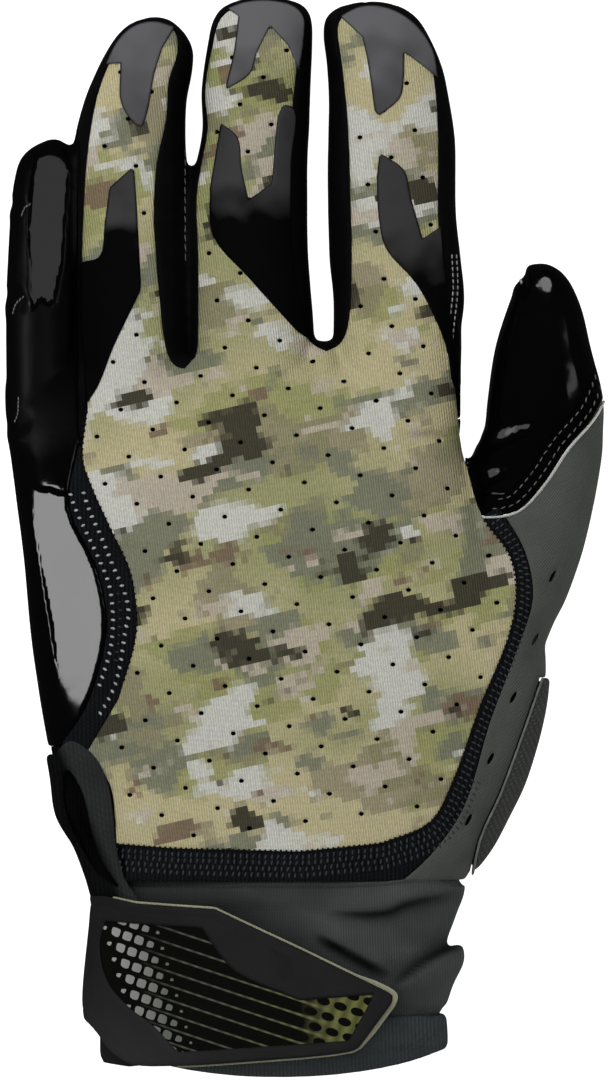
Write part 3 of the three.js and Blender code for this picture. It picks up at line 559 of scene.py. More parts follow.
# %% Press the flat places
facet_softness = 0.25
facet_ramp = 1.4
resting_part = 6
high_above = 100
down = Vector((0, 0, -1))
facets = {
    "little_finger": dict(
        area=spots(
            little_at, (0.965, -0.12), (0.965, 0.55), (0.9, 0.68), (0.75, 0.62), (0.45, 0.5),
            (0.27, 0.3), (0.25, 0.1), (0.28, -0.05), (0.22, -0.3), (0.6, -0.4), (0.85, -0.28)),
        through=spots(little_at, (0.25, -0.29), (0.4, 0.6), (0.945, 0.15))),
    "outer_edge": dict(
        area=spots(
            on_palm, (-0.902, 0.758), (-0.868, 0.673), (-0.798, 0.5), (-0.764, 0.385),
            (-0.729, 0.305), (-0.59, 0.35), (-0.53, 0.43), (-0.51, 0.52), (-0.56, 0.6),
            (-0.7, 0.74)),
        through=spots(on_palm, (-0.88, 0.69), (-0.56, 0.5), (-0.764, 0.385))),
}


def look_down(tree, x, y):
    """The surface's point and normal straight below a place."""
    mark, normal, _, _ = tree.ray_cast(Vector((x, y, high_above)), down)
    return mark, normal


def fit_plane(facet, tree):
    """The plane through three points of the surface, seen from above."""
    marks = [look_down(tree, x, y)[0] for x, y in facet["through"]]
    normal = (marks[1] - marks[0]).cross(marks[2] - marks[0]).normalized()
    return marks[0], normal if normal.z > 0 else -normal


def press_flat(points, facet, tree):
    """Press the surface down to the facet's plane, softly at its borders."""
    mark, normal = fit_plane(facet, tree)
    facet["normal"] = normal
    facet["mark"] = mark
    fall = (points[:, 0] - mark.x) * normal.x + (points[:, 1] - mark.y) * normal.y
    outside = np.maximum(distance_to(facet["area"], points), 0)
    limit = mark.z - fall / normal.z + facet_ramp * outside
    over = points[:, 2] - limit
    pressed = 0.5 * (over + np.sqrt(over * over + facet_softness ** 2))
    out = points.copy()
    out[:, 2] -= np.where(points[:, 2] > resting_part, pressed, 0)
    return out


def tree_of_hand():
    return BVHTree.FromPolygons([Vector(p) for p in hand_points], hand_faces.tolist())


for facet in facets.values():
    hand_points = press_flat(hand_points, facet, tree_of_hand())
hand_normals = normals_of(hand_points, hand_faces)
hand_tree = tree_of_hand()
for name, facet in facets.items():
    print(name, "facet leans", [round(v, 2) for v in facet["normal"]])

# %% [markdown]
# The knife that cuts a panel is a number at every point: below zero is kept. Where it
# changes sign along an edge, a new point is set on the seam. Blender's own knife needs a
# window, and a boolean leaves ragged rims on a thin sheet, so the cut is made in numbers.

# %% Cut a sheet along a line of numbers


def slice_sheet(points, faces, values, extra, level):
    """Split the triangles along values == level, and give the two sides' faces."""
    gap = values - level
    kept = (gap < 0)[faces]
    count = kept.sum(1)
    new_points, new_values, new_extra = [points], [values], [extra]
    sides = {True: [faces[count == 3]], False: [faces[count == 0]]}
    lone = []
    for number, find in ((1, np.argmax), (2, np.argmin)):
        chosen = faces[count == number]
        first = find(kept[count == number], axis=1) if len(chosen) else np.zeros(0, int)
        rows = np.arange(len(chosen))
        tri = np.column_stack([chosen[rows, (first + k) % 3] for k in range(3)])
        lone.append(tri.astype(np.int64).reshape(-1, 3))
    both = np.vstack(lone)
    if len(both):
        edges = np.sort(np.vstack([both[:, [0, 1]], both[:, [0, 2]]]), axis=1)
        unique, back = np.unique(edges, axis=0, return_inverse=True)
        back = back.ravel() + len(points)
        a, b = unique[:, 0], unique[:, 1]
        share = np.clip(gap[a] / (gap[a] - gap[b]), 0.02, 0.98)[:, None]
        new_points.append(points[a] * (1 - share) + points[b] * share)
        new_values.append(values[a] * (1 - share[:, 0]) + values[b] * share[:, 0])
        new_extra.append(extra[a] * (1 - share) + extra[b] * share)
        ab, ac = back[:len(both)], back[len(both):]
        tips = np.column_stack([both[:, 0], ab, ac])
        low = np.column_stack([ab, both[:, 1], both[:, 2]])
        high = np.column_stack([ab, both[:, 2], ac])
        ones = len(lone[0])
        sides[True] += [tips[:ones], low[ones:], high[ones:]]
        sides[False] += [tips[ones:], low[:ones], high[:ones]]
    merged = [np.vstack(part) for part in (new_points, new_extra)]
    return (merged[0], np.concatenate(new_values), merged[1],
            np.vstack(sides[True]), np.vstack(sides[False]))


trial = slice_sheet(np.eye(3), np.array([[0, 1, 2]]), np.array([-1.0, 1.0, 1.0]), np.eye(3), 0)
print("one triangle, cut once, gives", len(trial[3]) + len(trial[4]), "faces")

# %% [markdown]
# A small air hole needs smaller faces than the rest of its panel. Each edge of a chosen
# face is halved, and its neighbours are split to match, so no gap opens beside it.

# %% Make a sheet finer in places


def refine_sheet(points, faces, extra, near, target):
    """Halve the edges near some places until they are shorter than the target."""
    for _ in range(3):
        middle = points[faces].mean(1)
        chosen = near(middle)
        edge_length = np.linalg.norm(points[faces] - points[np.roll(faces, -1, axis=1)], axis=2)
        chosen &= edge_length.max(1) > target
        pairs = np.sort(np.stack([faces, np.roll(faces, -1, axis=1)], axis=2), axis=2)
        flat = pairs.reshape(-1, 2)
        unique, back = np.unique(flat, axis=0, return_inverse=True)
        back = back.reshape(-1, 3)
        marked = np.zeros(len(unique), bool)
        marked[back[chosen].ravel()] = True
        number = np.cumsum(marked) - 1 + len(points)
        halves = unique[marked]
        points = np.vstack([points, points[halves].mean(1)])
        extra = np.vstack([extra, extra[halves].mean(1)])
        split = marked[back]
        middle_id = number[back]
        count = split.sum(1)
        out = [faces[count == 0]]
        f, m = faces[count == 3], middle_id[count == 3]
        out += [np.column_stack(c) for c in (
            (f[:, 0], m[:, 0], m[:, 2]), (f[:, 1], m[:, 1], m[:, 0]),
            (f[:, 2], m[:, 2], m[:, 1]), (m[:, 0], m[:, 1], m[:, 2]))]
        for k in range(3):
            one = (count == 1) & split[:, k]
            f, m = faces[one], middle_id[one]
            a, b, c = f[:, k], f[:, (k + 1) % 3], f[:, (k + 2) % 3]
            out += [np.column_stack((a, m[:, k], c)), np.column_stack((m[:, k], b, c))]
            two = (count == 2) & ~split[:, k]
            f, m = faces[two], middle_id[two]
            a, b, c = f[:, k], f[:, (k + 1) % 3], f[:, (k + 2) % 3]
            bc, ca = m[:, (k + 1) % 3], m[:, (k + 2) % 3]
            out += [np.column_stack((a, b, bc)), np.column_stack((a, bc, ca)),
                    np.column_stack((ca, bc, c))]
        faces = np.vstack(out)
    return points, faces, extra


def tidy_sheet(points, faces):
    used = np.unique(faces)
    number = np.full(len(points), -1)
    number[used] = np.arange(len(used))
    return points[used], number[faces]


trial = refine_sheet(np.eye(3), np.array([[0, 1, 2]]), np.eye(3), lambda at: at[:, 0] > 0, 1.0)
print("one triangle, made finer once, gives", len(trial[1]), "faces")

# %% [markdown]
# A cut sheet has no thickness yet. A Solidify modifier gives it the wall that the real
# cloth has, and Shade Smooth by Angle keeps the cut edge crisp. A Decimate modifier thins
# a piece that has more faces than it needs.

# %% Give a sheet its wall
smooth_angle = math.radians(50)
most_faces = 150000


def largest_part(faces, count):
    """Only the faces that hang together with most of the others."""
    label = np.arange(count)
    while True:
        low = label[faces].min(1)
        new = label.copy()
        for k in range(3):
            np.minimum.at(new, faces[:, k], low)
        new = new[new]
        if (new == label).all():
            break
        label = new
    owner = label[faces[:, 0]]
    names, sizes = np.unique(owner, return_counts=True)
    return faces[owner == names[sizes.argmax()]]


def make_piece(name, points, faces, wall):
    """A mesh object with a wall, from points in millimetres."""
    points, faces = tidy_sheet(points, faces)
    mesh = bpy.data.meshes.new(name)
    mesh.from_pydata((points * mm).tolist(), [], faces.tolist())
    piece = bpy.data.objects.new(name, mesh)
    scene.collection.objects.link(piece)
    select_only(piece)
    modifier = piece.modifiers.new("wall", "SOLIDIFY")
    modifier.thickness = wall * mm
    modifier.offset = -1
    bpy.ops.object.modifier_apply(modifier="wall")
    if len(mesh.polygons) > most_faces:
        modifier = piece.modifiers.new("thinner", "DECIMATE")
        modifier.ratio = most_faces / len(mesh.polygons)
        bpy.ops.object.modifier_apply(modifier="thinner")
    bpy.ops.object.shade_smooth_by_angle(angle=smooth_angle)
    return piece


print("a piece keeps at most", most_faces, "faces")

# %% [markdown]
# A panel is the hand form inside its outline, a hair clear of the panels cut before it.
# Its edge rolls down into the seam, because a seam pulls cloth in. The sheet is sliced a
# few times beside its edge first, so that it has enough faces there to roll.

# %% Cut a panel
hair = 0.07
levels_near_edge = (-0.25, -0.6, -1.1)
box_margin = 3
taken = []


def cut_piece(name, form, limits, wall, relief=0.0, roll=0.35, roll_width=0.9, refine=None,
              shape=None):
    """Keep what lies inside all limits, raise it by relief and roll its edge down."""
    points, faces, extra = form
    box = limits[0](points) < box_margin
    faces = faces[box[faces].any(1)]
    points, faces, extra = (*tidy_sheet(points, faces), extra[np.unique(faces)])
    if refine:
        points, faces, extra = refine_sheet(points, faces, extra, refine[0], refine[1])
    values = np.max([limit(points) for limit in limits], axis=0)
    for level in levels_near_edge:
        points, values, extra, inner, outer = slice_sheet(points, faces, values, extra, level)
        faces = np.vstack([inner, outer])
    points, values, extra, faces, _ = slice_sheet(points, faces, values, extra, 0)
    faces = largest_part(faces, len(points))
    depth = np.clip(-values / roll_width, 0, 1)
    lift = relief - roll * (1 - np.sqrt(np.clip(1 - (1 - depth) ** 2, 0, 1)))
    if shape:
        lift = lift + shape(points)
    extra = extra / np.linalg.norm(extra, axis=1, keepdims=True)
    piece = make_piece(name, points + extra * lift[:, None], faces, wall)
    print(name, len(piece.data.polygons), "faces")
    return piece


def inside_of(outline):
    return lambda points: distance_to(outline, points) + hair


def clear_of(others):
    return [lambda points, o=o: hair - distance_to(o, points) for o in others]


hand_form = (hand_points, hand_faces, hand_normals)
palm_top = 7.5
wrist_limit = [lambda points: hand_y + hair - points[:, 1]]
above_palm = [lambda points: palm_top + hair - points[:, 2]]


def panel(name, outline, wall=1.2, **looks):
    limits = [inside_of(outline)] + wrist_limit + above_palm + clear_of(taken)
    piece = cut_piece(name, hand_form, limits, wall, **looks)
    taken.append(outline)
    return piece


print("panels of the upper side start at", palm_top, "mm")

# %% [markdown]
# The knit back is punched with rows of small oval air holes, which run slantwise. Their
# places are a grid of two steps. The sheet is made finer round each hole and cut there,
# so that every hole is a real one.

# %% The knit back with its air holes
hole_step_a = (6.7, -4.2)
hole_step_b = (-5.0, -5.7)
hole_size = (0.53, 0.42)
hole_edge = 1.7
hole_shift = (1.1, 2.0)
fine_round_hole = 0.85
fine_edge = 0.25
far_below = -9.0
hole_reach = 4
steps = range(-40, 41)
holes = []
for i in steps:
    for k in steps:
        x = hand_x + hole_step_a[0] * i + hole_step_b[0] * k + hole_shift[0]
        y = hand_y + palm_length / 2 + hole_step_a[1] * i + hole_step_b[1] * k + hole_shift[1]
        holes.append((x, y))
holes = np.array(holes)
holes = holes[distance_to(back_outline, holes) < -hole_edge]
print("air holes", len(holes))


def hole_value(points):
    """Above zero inside an air hole."""
    best = np.full(len(points), far_below)
    for x, y in holes:
        near = np.abs(points[:, 0] - x) + np.abs(points[:, 1] - y) < hole_reach
        part = points[near]
        dx, dy = (part[:, 0] - x) / hole_size[0], (part[:, 1] - y) / hole_size[1]
        best[near] = np.maximum(best[near], (1 - np.sqrt(dx * dx + dy * dy)) * hole_size[1])
    return best


def near_any(centres, radius):
    """Tells which points of the upper side lie near one of the centres."""
    def near(points):
        close = np.zeros(len(points), bool)
        for x, y in centres:
            close |= (points[:, 0] - x) ** 2 + (points[:, 1] - y) ** 2 < radius ** 2
        return close & (points[:, 2] > palm_top)
    return near


limits = [inside_of(back_outline), hole_value] + wrist_limit + above_palm
knit_back = cut_piece("knit_back", hand_form, limits, 1.0, roll=0.3,
                      refine=(near_any(holes, fine_round_hole), fine_edge))
taken.append(back_outline)

# %% [markdown]
# The other sewn panels follow in the order in which they lie on each other: the stitched
# tape along the outer edge, the flat tape round the back panel, the glossy thumb stall
# and its seam tape, the dark vent at the wrist, the heel pad and the skin that wraps the
# little finger.

# %% The tapes, the thumb, the vent, the heel pad and the little finger
seam_tape_width = 4.3
rim_end_share = 0.11
vent_depth = 1.8
vent_slope = 0.8
edge_tape = panel("edge_tape_band", edge_tape_outline, roll=0.2)
border_tape = panel("border_tape_band", border_tape_outline, roll=0.25)
seam_tape = panel("thumb_seam_band", ribbon(thumb_seam, seam_tape_width), roll=0.12,
                  roll_width=0.4)
thumb_limits = [inside_of(thumb_outline), lambda points: np.minimum(
    np.max([limit(points) for limit in clear_of(taken)], axis=0), points[:, 2] - palm_top + hair)]
thumb_stall = cut_piece("thumb_stall_skin", hand_form, thumb_limits, 1.2, roll=0.12,
                        roll_width=0.4)
taken.append(thumb_outline)
rim_end = [lambda points: on_cuff(0, rim_end_share)[1] - points[:, 1]]
limits = [inside_of(vent_outline)] + above_palm + rim_end + clear_of(taken)


def vent_shape(points):
    """The vent's floor sinks inside its hollow."""
    return -vent_depth * np.clip(vent_slope - distance_to(vent_hollow, points), 0, 1)


vent_cloth = cut_piece("vent_cloth", hand_form, limits, 1.2, relief=-0.5, roll=0.1,
                       shape=vent_shape)
taken.append(vent_outline)
heel_panel = panel("heel_pad_skin", heel_outline, wall=2.0, relief=0.9, roll=0.6, roll_width=1.1)
little_wrap = panel("little_finger_skin", little_outline, roll=0.4)

# %% [markdown]
# The dark gusset breathes through a few slits, which are ovals cut like the air holes.
# After it come the side walls of the fingers. The grip palm is last, because it takes all
# that is left of the hand form.

# %% The gusset with its slits, the side walls and the palm
slits = spots(thumb_at, (0.172, 0.12), (0.005, -0.17), (-0.148, -0.54))
slits += spots(on_palm, (1.102, 0.235), (1.007, 0.117))
slit_lean = math.radians(62)
slit_size = (1.35, 0.4)
fine_round_slit = 2.2


def slit_value(points):
    """Above zero inside an air slit of the gusset."""
    best = np.full(len(points), far_below)
    for x, y in slits:
        dx, dy = points[:, 0] - x, points[:, 1] - y
        along = dx * math.cos(slit_lean) + dy * math.sin(slit_lean)
        aside = dy * math.cos(slit_lean) - dx * math.sin(slit_lean)
        reach = np.sqrt((along / slit_size[0]) ** 2 + (aside / slit_size[1]) ** 2)
        best = np.maximum(best, (1 - reach) * slit_size[1])
    return best


limits = [inside_of(gusset_outline), slit_value] + wrist_limit + above_palm + clear_of(taken)
gusset = cut_piece("thumb_gusset_cloth", hand_form, limits, 1.2, roll=0.25,
                   refine=(near_any(slits, fine_round_slit), fine_edge))
taken.append(gusset_outline)
sides = {}
for name, outline in side_outlines.items():
    sides[name] = panel(name + "_skin", outline, roll=0.35)
below_palm = [lambda points: points[:, 2] - palm_top + hair]
everywhere = [lambda points: np.full(len(points), far_below)]
grip_palm = cut_piece("grip_palm", hand_form,
                      everywhere + below_palm + wrist_limit + clear_of([thumb_outline]), 1.2,
                      roll=0.25)

# %% [markdown]
# Over the fingertips and knuckles lie smooth moulded films. They are cut from the same
# hand form and raised by a film's thickness, so that they follow the cloth below.

# %% The moulded films
film_lift = 0.5
film_wall = 0.4
film_outlines = {
    "ring_tip": smooth_runs(
        ring_at,
        [(0.862, -0.46), (0.93, -0.26), (0.975, 0.02), (0.992, 0.4), (0.975, 0.8)],
        [(0.91, 0.57), (0.834, 0.43), (0.711, 0.286), (0.679, 0.18), (0.743, -0.16),
         (0.866, -0.18)]),
    "ring_knuckle": smooth_runs(
        ring_at,
        [(0.569, 0.07), (0.437, 0.125), (0.216, 0.196)],
        [(0.2, 0.18), (0.041, -0.286), (-0.07, -0.55), (-0.13, -0.78)],
        [(0.087, -0.87), (0.28, -0.92), (0.303, -0.55), (0.4, -0.46), (0.504, -0.375)]),
    "middle_tip": smooth_runs(
        middle_at,
        [(0.969, -0.4), (0.987, -0.1), (0.992, 0.32), (0.976, 0.74), (0.945, 0.91), (0.88, 0.91),
         (0.79, 0.83)],
        [(0.863, 0.64), (0.918, 0.34)],
        [(0.905, 0.3), (0.843, 0.12), (0.786, 0), (0.742, -0.41)],
        [(0.76, -0.4), (0.852, -0.27), (0.945, -0.2)]),
    "middle_knuckle": smooth_runs(
        middle_at,
        [(0.654, -0.49), (0.613, -0.2), (0.527, -0.136), (0.442, -0.02)],
        [(0.486, 0.356), (0.7, 0.54), (0.69, 0.76), (0.538, 0.7), (0.275, 0.73), (0.137, 0.89),
         (0.05, 1.06)],
        [(0.08, 0.78), (0.225, -0.02), (0.343, -0.63), (0.47, -0.68)]),
    "index_tip": smooth_runs(
        index_at,
        [(0.963, -0.86), (0.992, -0.5), (0.987, -0.1), (0.946, 0.3), (0.873, 0.6), (0.785, 0.69)],
        [(0.83, 0.375), (0.858, 0.156)],
        [(0.796, 0.156), (0.732, 0.094), (0.682, -0.234)],
        [(0.693, -0.31), (0.824, -0.41), (0.902, -0.5)]),
    "index_knuckle": smooth_runs(
        index_at,
        [(0.581, -0.234), (0.531, 0.156), (0.461, 0.25), (0.341, 0.44)],
        [(0.377, 0.73), (0.274, 0.78), (0.14, 0.87), (-0.1, 1.0)],
        [(-0.05, 0.87), (0.017, 0.82), (0.098, 0.67), (0.212, 0.34), (0.313, -0.14), (0.4, -0.25),
         (0.511, -0.28)]),
}
films = {}
for name, outline in film_outlines.items():
    films[name] = cut_piece(name + "_film", hand_form, [inside_of(outline)] + above_palm, film_wall,
                            relief=film_lift, roll=0.3, roll_width=0.5)

# %% [markdown]
# A cream piping closes the thumb's seam, a thin pale cord edges the heel pad, and a thick
# padded rim runs round the vent at the wrist. All are bands of the hand form, raised.

# %% Piping, heel cord and vent rim
cord_grid = 0.22
band_reach = 0.7
piping_steps = 21


def near_band(band):
    return lambda points: (distance_to(band, points) < band_reach) & (points[:, 2] > palm_top)


piping_width = np.linspace(0.3, 0.62, piping_steps)[:, None]
piping_band = ribbon(thumb_seam[:piping_steps], -piping_width)
piping = cut_piece("thumb_piping_cord", hand_form, [inside_of(piping_band)] + above_palm, 0.5,
                   relief=0.5, roll=0.3, roll_width=0.35,
                   refine=(near_band(piping_band), cord_grid))
heel_band = ribbon(heel_inner, 0.5)
heel_line = cut_piece("heel_edge_cord", hand_form,
                      [inside_of(heel_band)] + above_palm + wrist_limit, 0.5,
                      relief=0.95, roll=0.2, roll_width=0.25,
                      refine=(near_band(heel_band), cord_grid))
tip_line = curve(spots(
    thumb_at, (0.998, -0.35), (0.973, -0.41), (0.934, -0.35), (0.916, -0.24), (0.926, -0.12)))
tip_band = ribbon(tip_line, 0.26)
tip_seam = cut_piece("thumb_tip_seam", hand_form, [inside_of(tip_band)] + above_palm, 0.4,
                     relief=0.3, roll=0.1, roll_width=0.15, refine=(near_band(tip_band), cord_grid))
vent_rim = cut_piece("vent_rim_binding", hand_form,
                     [inside_of(vent_rim_outline)] + above_palm + rim_end
                     + clear_of([vent_hollow]), 1.0, relief=0.9, roll=0.75, roll_width=1.3)

# %% [markdown]
# The cuff is a thick stretch tube that bunches into soft folds on the thumb side. A
# simulation of cloth could make them, but they are few, so each is a line with a bulge
# that rises slowly and drops quickly, as if one layer hangs over the next.

# %% The folds of the cuff
fold_end = 0.3
fold_drop = 1.1
fold_foot = 8
# In each fold, shadow and dark give the painted shadow beside it: its width in mm and its depth.
cuff_folds = [
    dict(line=spots(on_cuff, (0.2, 0.135), (0.6, 0.135), (0.72, 0.09), (1.06, 0.04)),
         height=1.9, reach=4.5, shadow=1.6, dark=0.7),
    dict(line=spots(on_cuff, (0.18, 0.23), (0.42, 0.35), (0.68, 0.48)),
         height=2.2, reach=4.5, shadow=2.5, dark=0.92),
    dict(line=spots(on_cuff, (1.1, 0.33), (0.86, 0.41), (0.6, 0.59)),
         height=3.4, reach=6.0, shadow=2.2, dark=0.88),
]


def beside_fold(points, fold):
    """Distance past the fold line, above zero on its raised side, and a fade at its ends."""
    line = np.array(curve(fold["line"]))
    best = np.full(len(points), 1e9)
    side = np.zeros(len(points))
    share = np.zeros(len(points))
    for k in range(len(line) - 1):
        a, b = line[k], line[k + 1]
        d = b - a
        t = np.clip(((points[:, :2] - a) @ d) / (d @ d), 0, 1)
        off = points[:, :2] - a - t[:, None] * d
        reach = np.linalg.norm(off, axis=1)
        closer = reach < best
        best = np.where(closer, reach, best)
        side = np.where(closer, np.sign(d[0] * off[:, 1] - d[1] * off[:, 0]), side)
        share = np.where(closer, (k + t) / (len(line) - 1), share)
    fade = np.clip(share / fold_end, 0, 1) * np.clip((1 - share) / fold_end, 0, 1)
    top = np.clip((points[:, 2] - fold_foot) / fold_foot, 0, 1)
    return best * side, fade * fade * (3 - 2 * fade) * top


def fold_lift(points, fold):
    """A bulge on one side of the fold line that drops off just beyond it."""
    past, fade = beside_fold(points, fold)
    width = np.where(past > 0, fold["reach"], fold_drop)
    return fold["height"] * np.exp(-(past / width) ** 2) * fade


print("folds", len(cuff_folds))

# %% [markdown]
# The cuff and the hem are cut from smooth tubes. The cuff's skin is moved out by its folds
# and sinks a little beside the hand. The hem is a heavier band, so its edge rolls more.

# %% Cuff and hem
cuff_facets = 220
hem_facets = 200
cuff_top = 0.6
cuff_end_share = 0.695
cuff_sink = 0.5
sink_beside_hand = 0.35


def tube_form(name, rows, steps, around):
    """Points, faces and normals of an open tube, ready to be cut."""
    tube = sleeve(name, rows, steps, around, False)
    modifier = tube.modifiers.new("triangles", "TRIANGULATE")
    bpy.ops.object.modifier_apply(modifier="triangles")
    points, faces = read_mesh(tube)
    bpy.data.objects.remove(tube)
    return points, faces, normals_of(points, faces)


def cuff_shape(points):
    """How far the cuff's skin stands out from its tube."""
    out = lumps(points, 0.35, 9.0, 5.7)
    for fold in cuff_folds:
        out = out + fold_lift(points, fold)
    return out - cuff_sink - sink_beside_hand * np.clip(points[:, 1] - hand_y + 1, 0, 1.5)


cuff_start = (-0.04, *cuff_rows[0][1:])
cuff_form = tube_form("cuff_tube", in_mm([cuff_start] + cuff_rows, on_cuff, wrist_height), 8,
                      cuff_facets)
cuff = cut_piece("stretch_cuff", cuff_form,
                 [lambda points: points[:, 1] - hand_y - cuff_top,
                  lambda points: on_cuff(0, cuff_end_share)[1] - points[:, 1]], 2.0, roll=0.3,
                 shape=cuff_shape)
hem_end = curve(spots(
    on_cuff, (1.3, 0.74), (0.92, 0.88), (0.6, 0.955), (0.05, 1), (-0.5, 0.965), (-0.93, 0.87),
    (-1.3, 0.74)))
hem_outline = spots(on_cuff, (-1.3, 0.672), (1.3, 0.672)) + hem_end
hem_form = tube_form("hem_tube", in_mm(hem_rows, on_cuff, wrist_height), 9, hem_facets)
hem = cut_piece("rolled_hem", hem_form, [inside_of(hem_outline)], 2.4, roll=0.9, roll_width=1.6,
                shape=lambda points: lumps(points, 0.25, 7.0, 2.2))

# %% [markdown]
# The closure strap comes round the outer edge and ends in a moulded tab. The tab is one
# stiff plate on a khaki backing, whose edge shows as a thin pale line. A glossy window is
# let into it. All of them are cut from one smooth form that wraps the cuff.

# %% Strap, tab and window
strap_facets = 240
strap_form = tube_form("strap_tube", in_mm(strap_rows, on_cuff, wrist_height), 14,
                       strap_facets)
tab_corners = spots(
    on_cuff, (-1.3, 0.086), (-0.977, 0.076), (-0.797, 0.107), (-0.352, 0.132), (0.127, 0.335),
    (0.61, 0.548))
tab_outline = tab_corners + smooth_runs(
    on_cuff,
    [(0.625, 0.555), (0.655, 0.58), (0.64, 0.62)],
    [(0.459, 0.84), (0.42, 0.858), (-0.211, 0.914), (-0.572, 0.934), (-0.82, 0.929),
     (-0.944, 0.868), (-1.05, 0.75), (-1.3, 0.58)])
window_outline = curve(spots(
    on_cuff, (-0.977, 0.203), (-1.01, 0.325), (-0.966, 0.503), (-0.837, 0.635), (-0.707, 0.721),
    (-0.56, 0.86))) + spots(on_cuff, (0.4, 0.8), (0.54, 0.57))
window_outline += curve(spots(
    on_cuff, (0.127, 0.599), (-0.234, 0.457), (-0.352, 0.335), (-0.425, 0.234)))
strap_outline = spots(
    on_cuff, (-1.4, 0.14), (-0.7, 0.16), (-0.4, 0.2), (0.1, 0.39), (0.58, 0.6), (0.42, 0.8),
    (-0.84, 0.945), (-0.99, 0.93), (-1.02, 0.88), (-1.02, 0.78), (-1.4, 0.78))


def wider(outline, margin):
    return lambda points: distance_to(outline, points) - margin


def above(height):
    """Only what lies over the palm side."""
    return [lambda points: height - points[:, 2]]


def lifted(form, height):
    """The form moved outwards, so that an outline cuts it where it then is."""
    points = form[0] + form[2] * height
    return points, form[1], normals_of(points, form[1])


def tab_shape(points):
    """A shallow line pressed into the tab beside its edge."""
    return -0.1 * np.clip(1 - np.abs(distance_to(tab_outline, points) + 1.9) / 0.3, 0, 1)


def beyond_tab(points):
    """The backing's outline, with a wider rim at the tab's free end."""
    end_share = np.clip((points[:, 0] - on_cuff(0.45, 0)[0]) / (0.1 * half_wrist), 0, 1)
    return distance_to(tab_outline, points) - 0.33 - 0.5 * end_share


strap = cut_piece("closure_strap", lifted(strap_form, 1.4), [inside_of(strap_outline)] + above(4),
                  1.3, roll=0.5)
rim_zone = spots(
    on_cuff, (-1.3, -0.1), (1.3, -0.1), (1.3, 1.2), (-0.56, 1.2), (-0.62, 0.5), (-1.3, 0.3))
backing = cut_piece("tab_backing_edge", lifted(strap_form, 2.6),
                    [beyond_tab, inside_of(rim_zone)] + above(12), 0.8, roll=0.15,
                    roll_width=0.3)
tab = cut_piece("moulded_tab", lifted(strap_form, 4.7),
                [inside_of(tab_outline)] + above(12) + clear_of([window_outline]), 2.0,
                roll=0.5, roll_width=0.7, shape=tab_shape)
inlay = cut_piece("tab_window", lifted(strap_form, 4.1), [wider(window_outline, 0.3)] + above(12),
                  0.6, roll=0.15, roll_width=0.4)

# %% [markdown]
# Stitches are short rounded threads. One is modelled from a sphere with few faces, and
# copies of it are laid along a line on the cloth, so each thread is real but light.

# %% One stitch and rows of it
stitch_lean = 0.18
steepest = 0.15
bpy.ops.object.select_all(action="DESELECT")
bpy.ops.mesh.primitive_uv_sphere_add(segments=6, ring_count=4, radius=0.5)
stitch = bpy.context.object
stitch.data.transform(stitch.matrix_world)
stitch_points = np.array([v.co[:] for v in stitch.data.vertices])
stitch_faces = [list(p.vertices) for p in stitch.data.polygons]
bpy.data.objects.remove(stitch)


def along_line(line, spacing):
    """Even steps along a line, each with its direction."""
    pts = np.array(line)
    lengths = np.r_[0, np.cumsum(np.linalg.norm(np.diff(pts, axis=0), axis=1))]
    marks = np.arange(spacing / 2, lengths[-1], spacing)
    x = np.interp(marks, lengths, pts[:, 0])
    y = np.interp(marks, lengths, pts[:, 1])
    ahead = np.column_stack([np.gradient(x), np.gradient(y)])
    return np.column_stack([x, y]), ahead / np.linalg.norm(ahead, axis=1, keepdims=True)


def stitch_rows(name, rows, tree, size, lift, turn=0.0):
    """One mesh of threads along several lines, seated on a surface from above."""
    chance = np.random.default_rng(len(name))
    points, faces = [], []
    for line, spacing in rows:
        places, ahead = along_line(line, spacing)
        for (x, y), (dx, dy) in zip(places, ahead):
            hit, normal = look_down(tree, x, y)
            if hit is None or normal.z < steepest:
                continue
            lean = turn + chance.uniform(-stitch_lean, stitch_lean)
            c, s = math.cos(lean), math.sin(lean)
            run = Vector((dx * c - dy * s, dx * s + dy * c, 0))
            run = (run - normal * run.dot(normal)).normalized()
            side = normal.cross(run)
            base = len(points)
            for p in stitch_points:
                points.append(tuple(hit + run * p[0] * size[0] + side * p[1] * size[1]
                                    + normal * (p[2] * size[2] + lift)))
            faces += [[base + k for k in face] for face in stitch_faces]
    mesh = bpy.data.meshes.new(name)
    mesh.from_pydata([tuple(v * mm for v in p) for p in points], [], faces)
    piece = bpy.data.objects.new(name, mesh)
    scene.collection.objects.link(piece)
    select_only(piece)
    bpy.ops.object.shade_smooth()
    print(name, len(faces) // len(stitch_faces), "stitches")
    return piece


def tree_of(form, lift):
    points = form[0] + form[2] * lift
    return BVHTree.FromPolygons([Vector(p) for p in points], form[1].tolist())


print("a stitch has", len(stitch_faces), "faces")

# %% [markdown]
# The tapes carry open rows of pale stitches and a dark braid, and single threads close the
# seams of the thumb, the hem and the fingers. Each row is a line and a step.

# %% Stitches of the tapes and seams
across_line = math.radians(78)
open_step = 1.75
braid_step = 1.3
braid_start = 0.42
thread_lift = 0.02
seam_lift = 0.03
outer_row = curve(spots(
    on_palm, (-0.718, 0.75), (-0.693, 0.716), (-0.607, 0.635), (-0.55, 0.575), (-0.531, 0.527),
    (-0.531, 0.476), (-0.547, 0.431), (-0.589, 0.374)))
inner_row = curve(spots(
    on_palm, (-0.661, 0.753), (-0.636, 0.717), (-0.586, 0.667), (-0.524, 0.6), (-0.477, 0.552),
    (-0.461, 0.515), (-0.476, 0.479), (-0.499, 0.412), (-0.528, 0.367), (-0.6, 0.31)))
faint_row = curve(spots(on_palm, (-0.51, 0.56), (-0.498, 0.52), (-0.503, 0.47), (-0.518, 0.42)))
edge_stitches = stitch_rows("edge_tape_stitches", [(outer_row, open_step), (inner_row, open_step)],
                            hand_tree, (1.1, 0.6, 0.4), thread_lift, across_line)
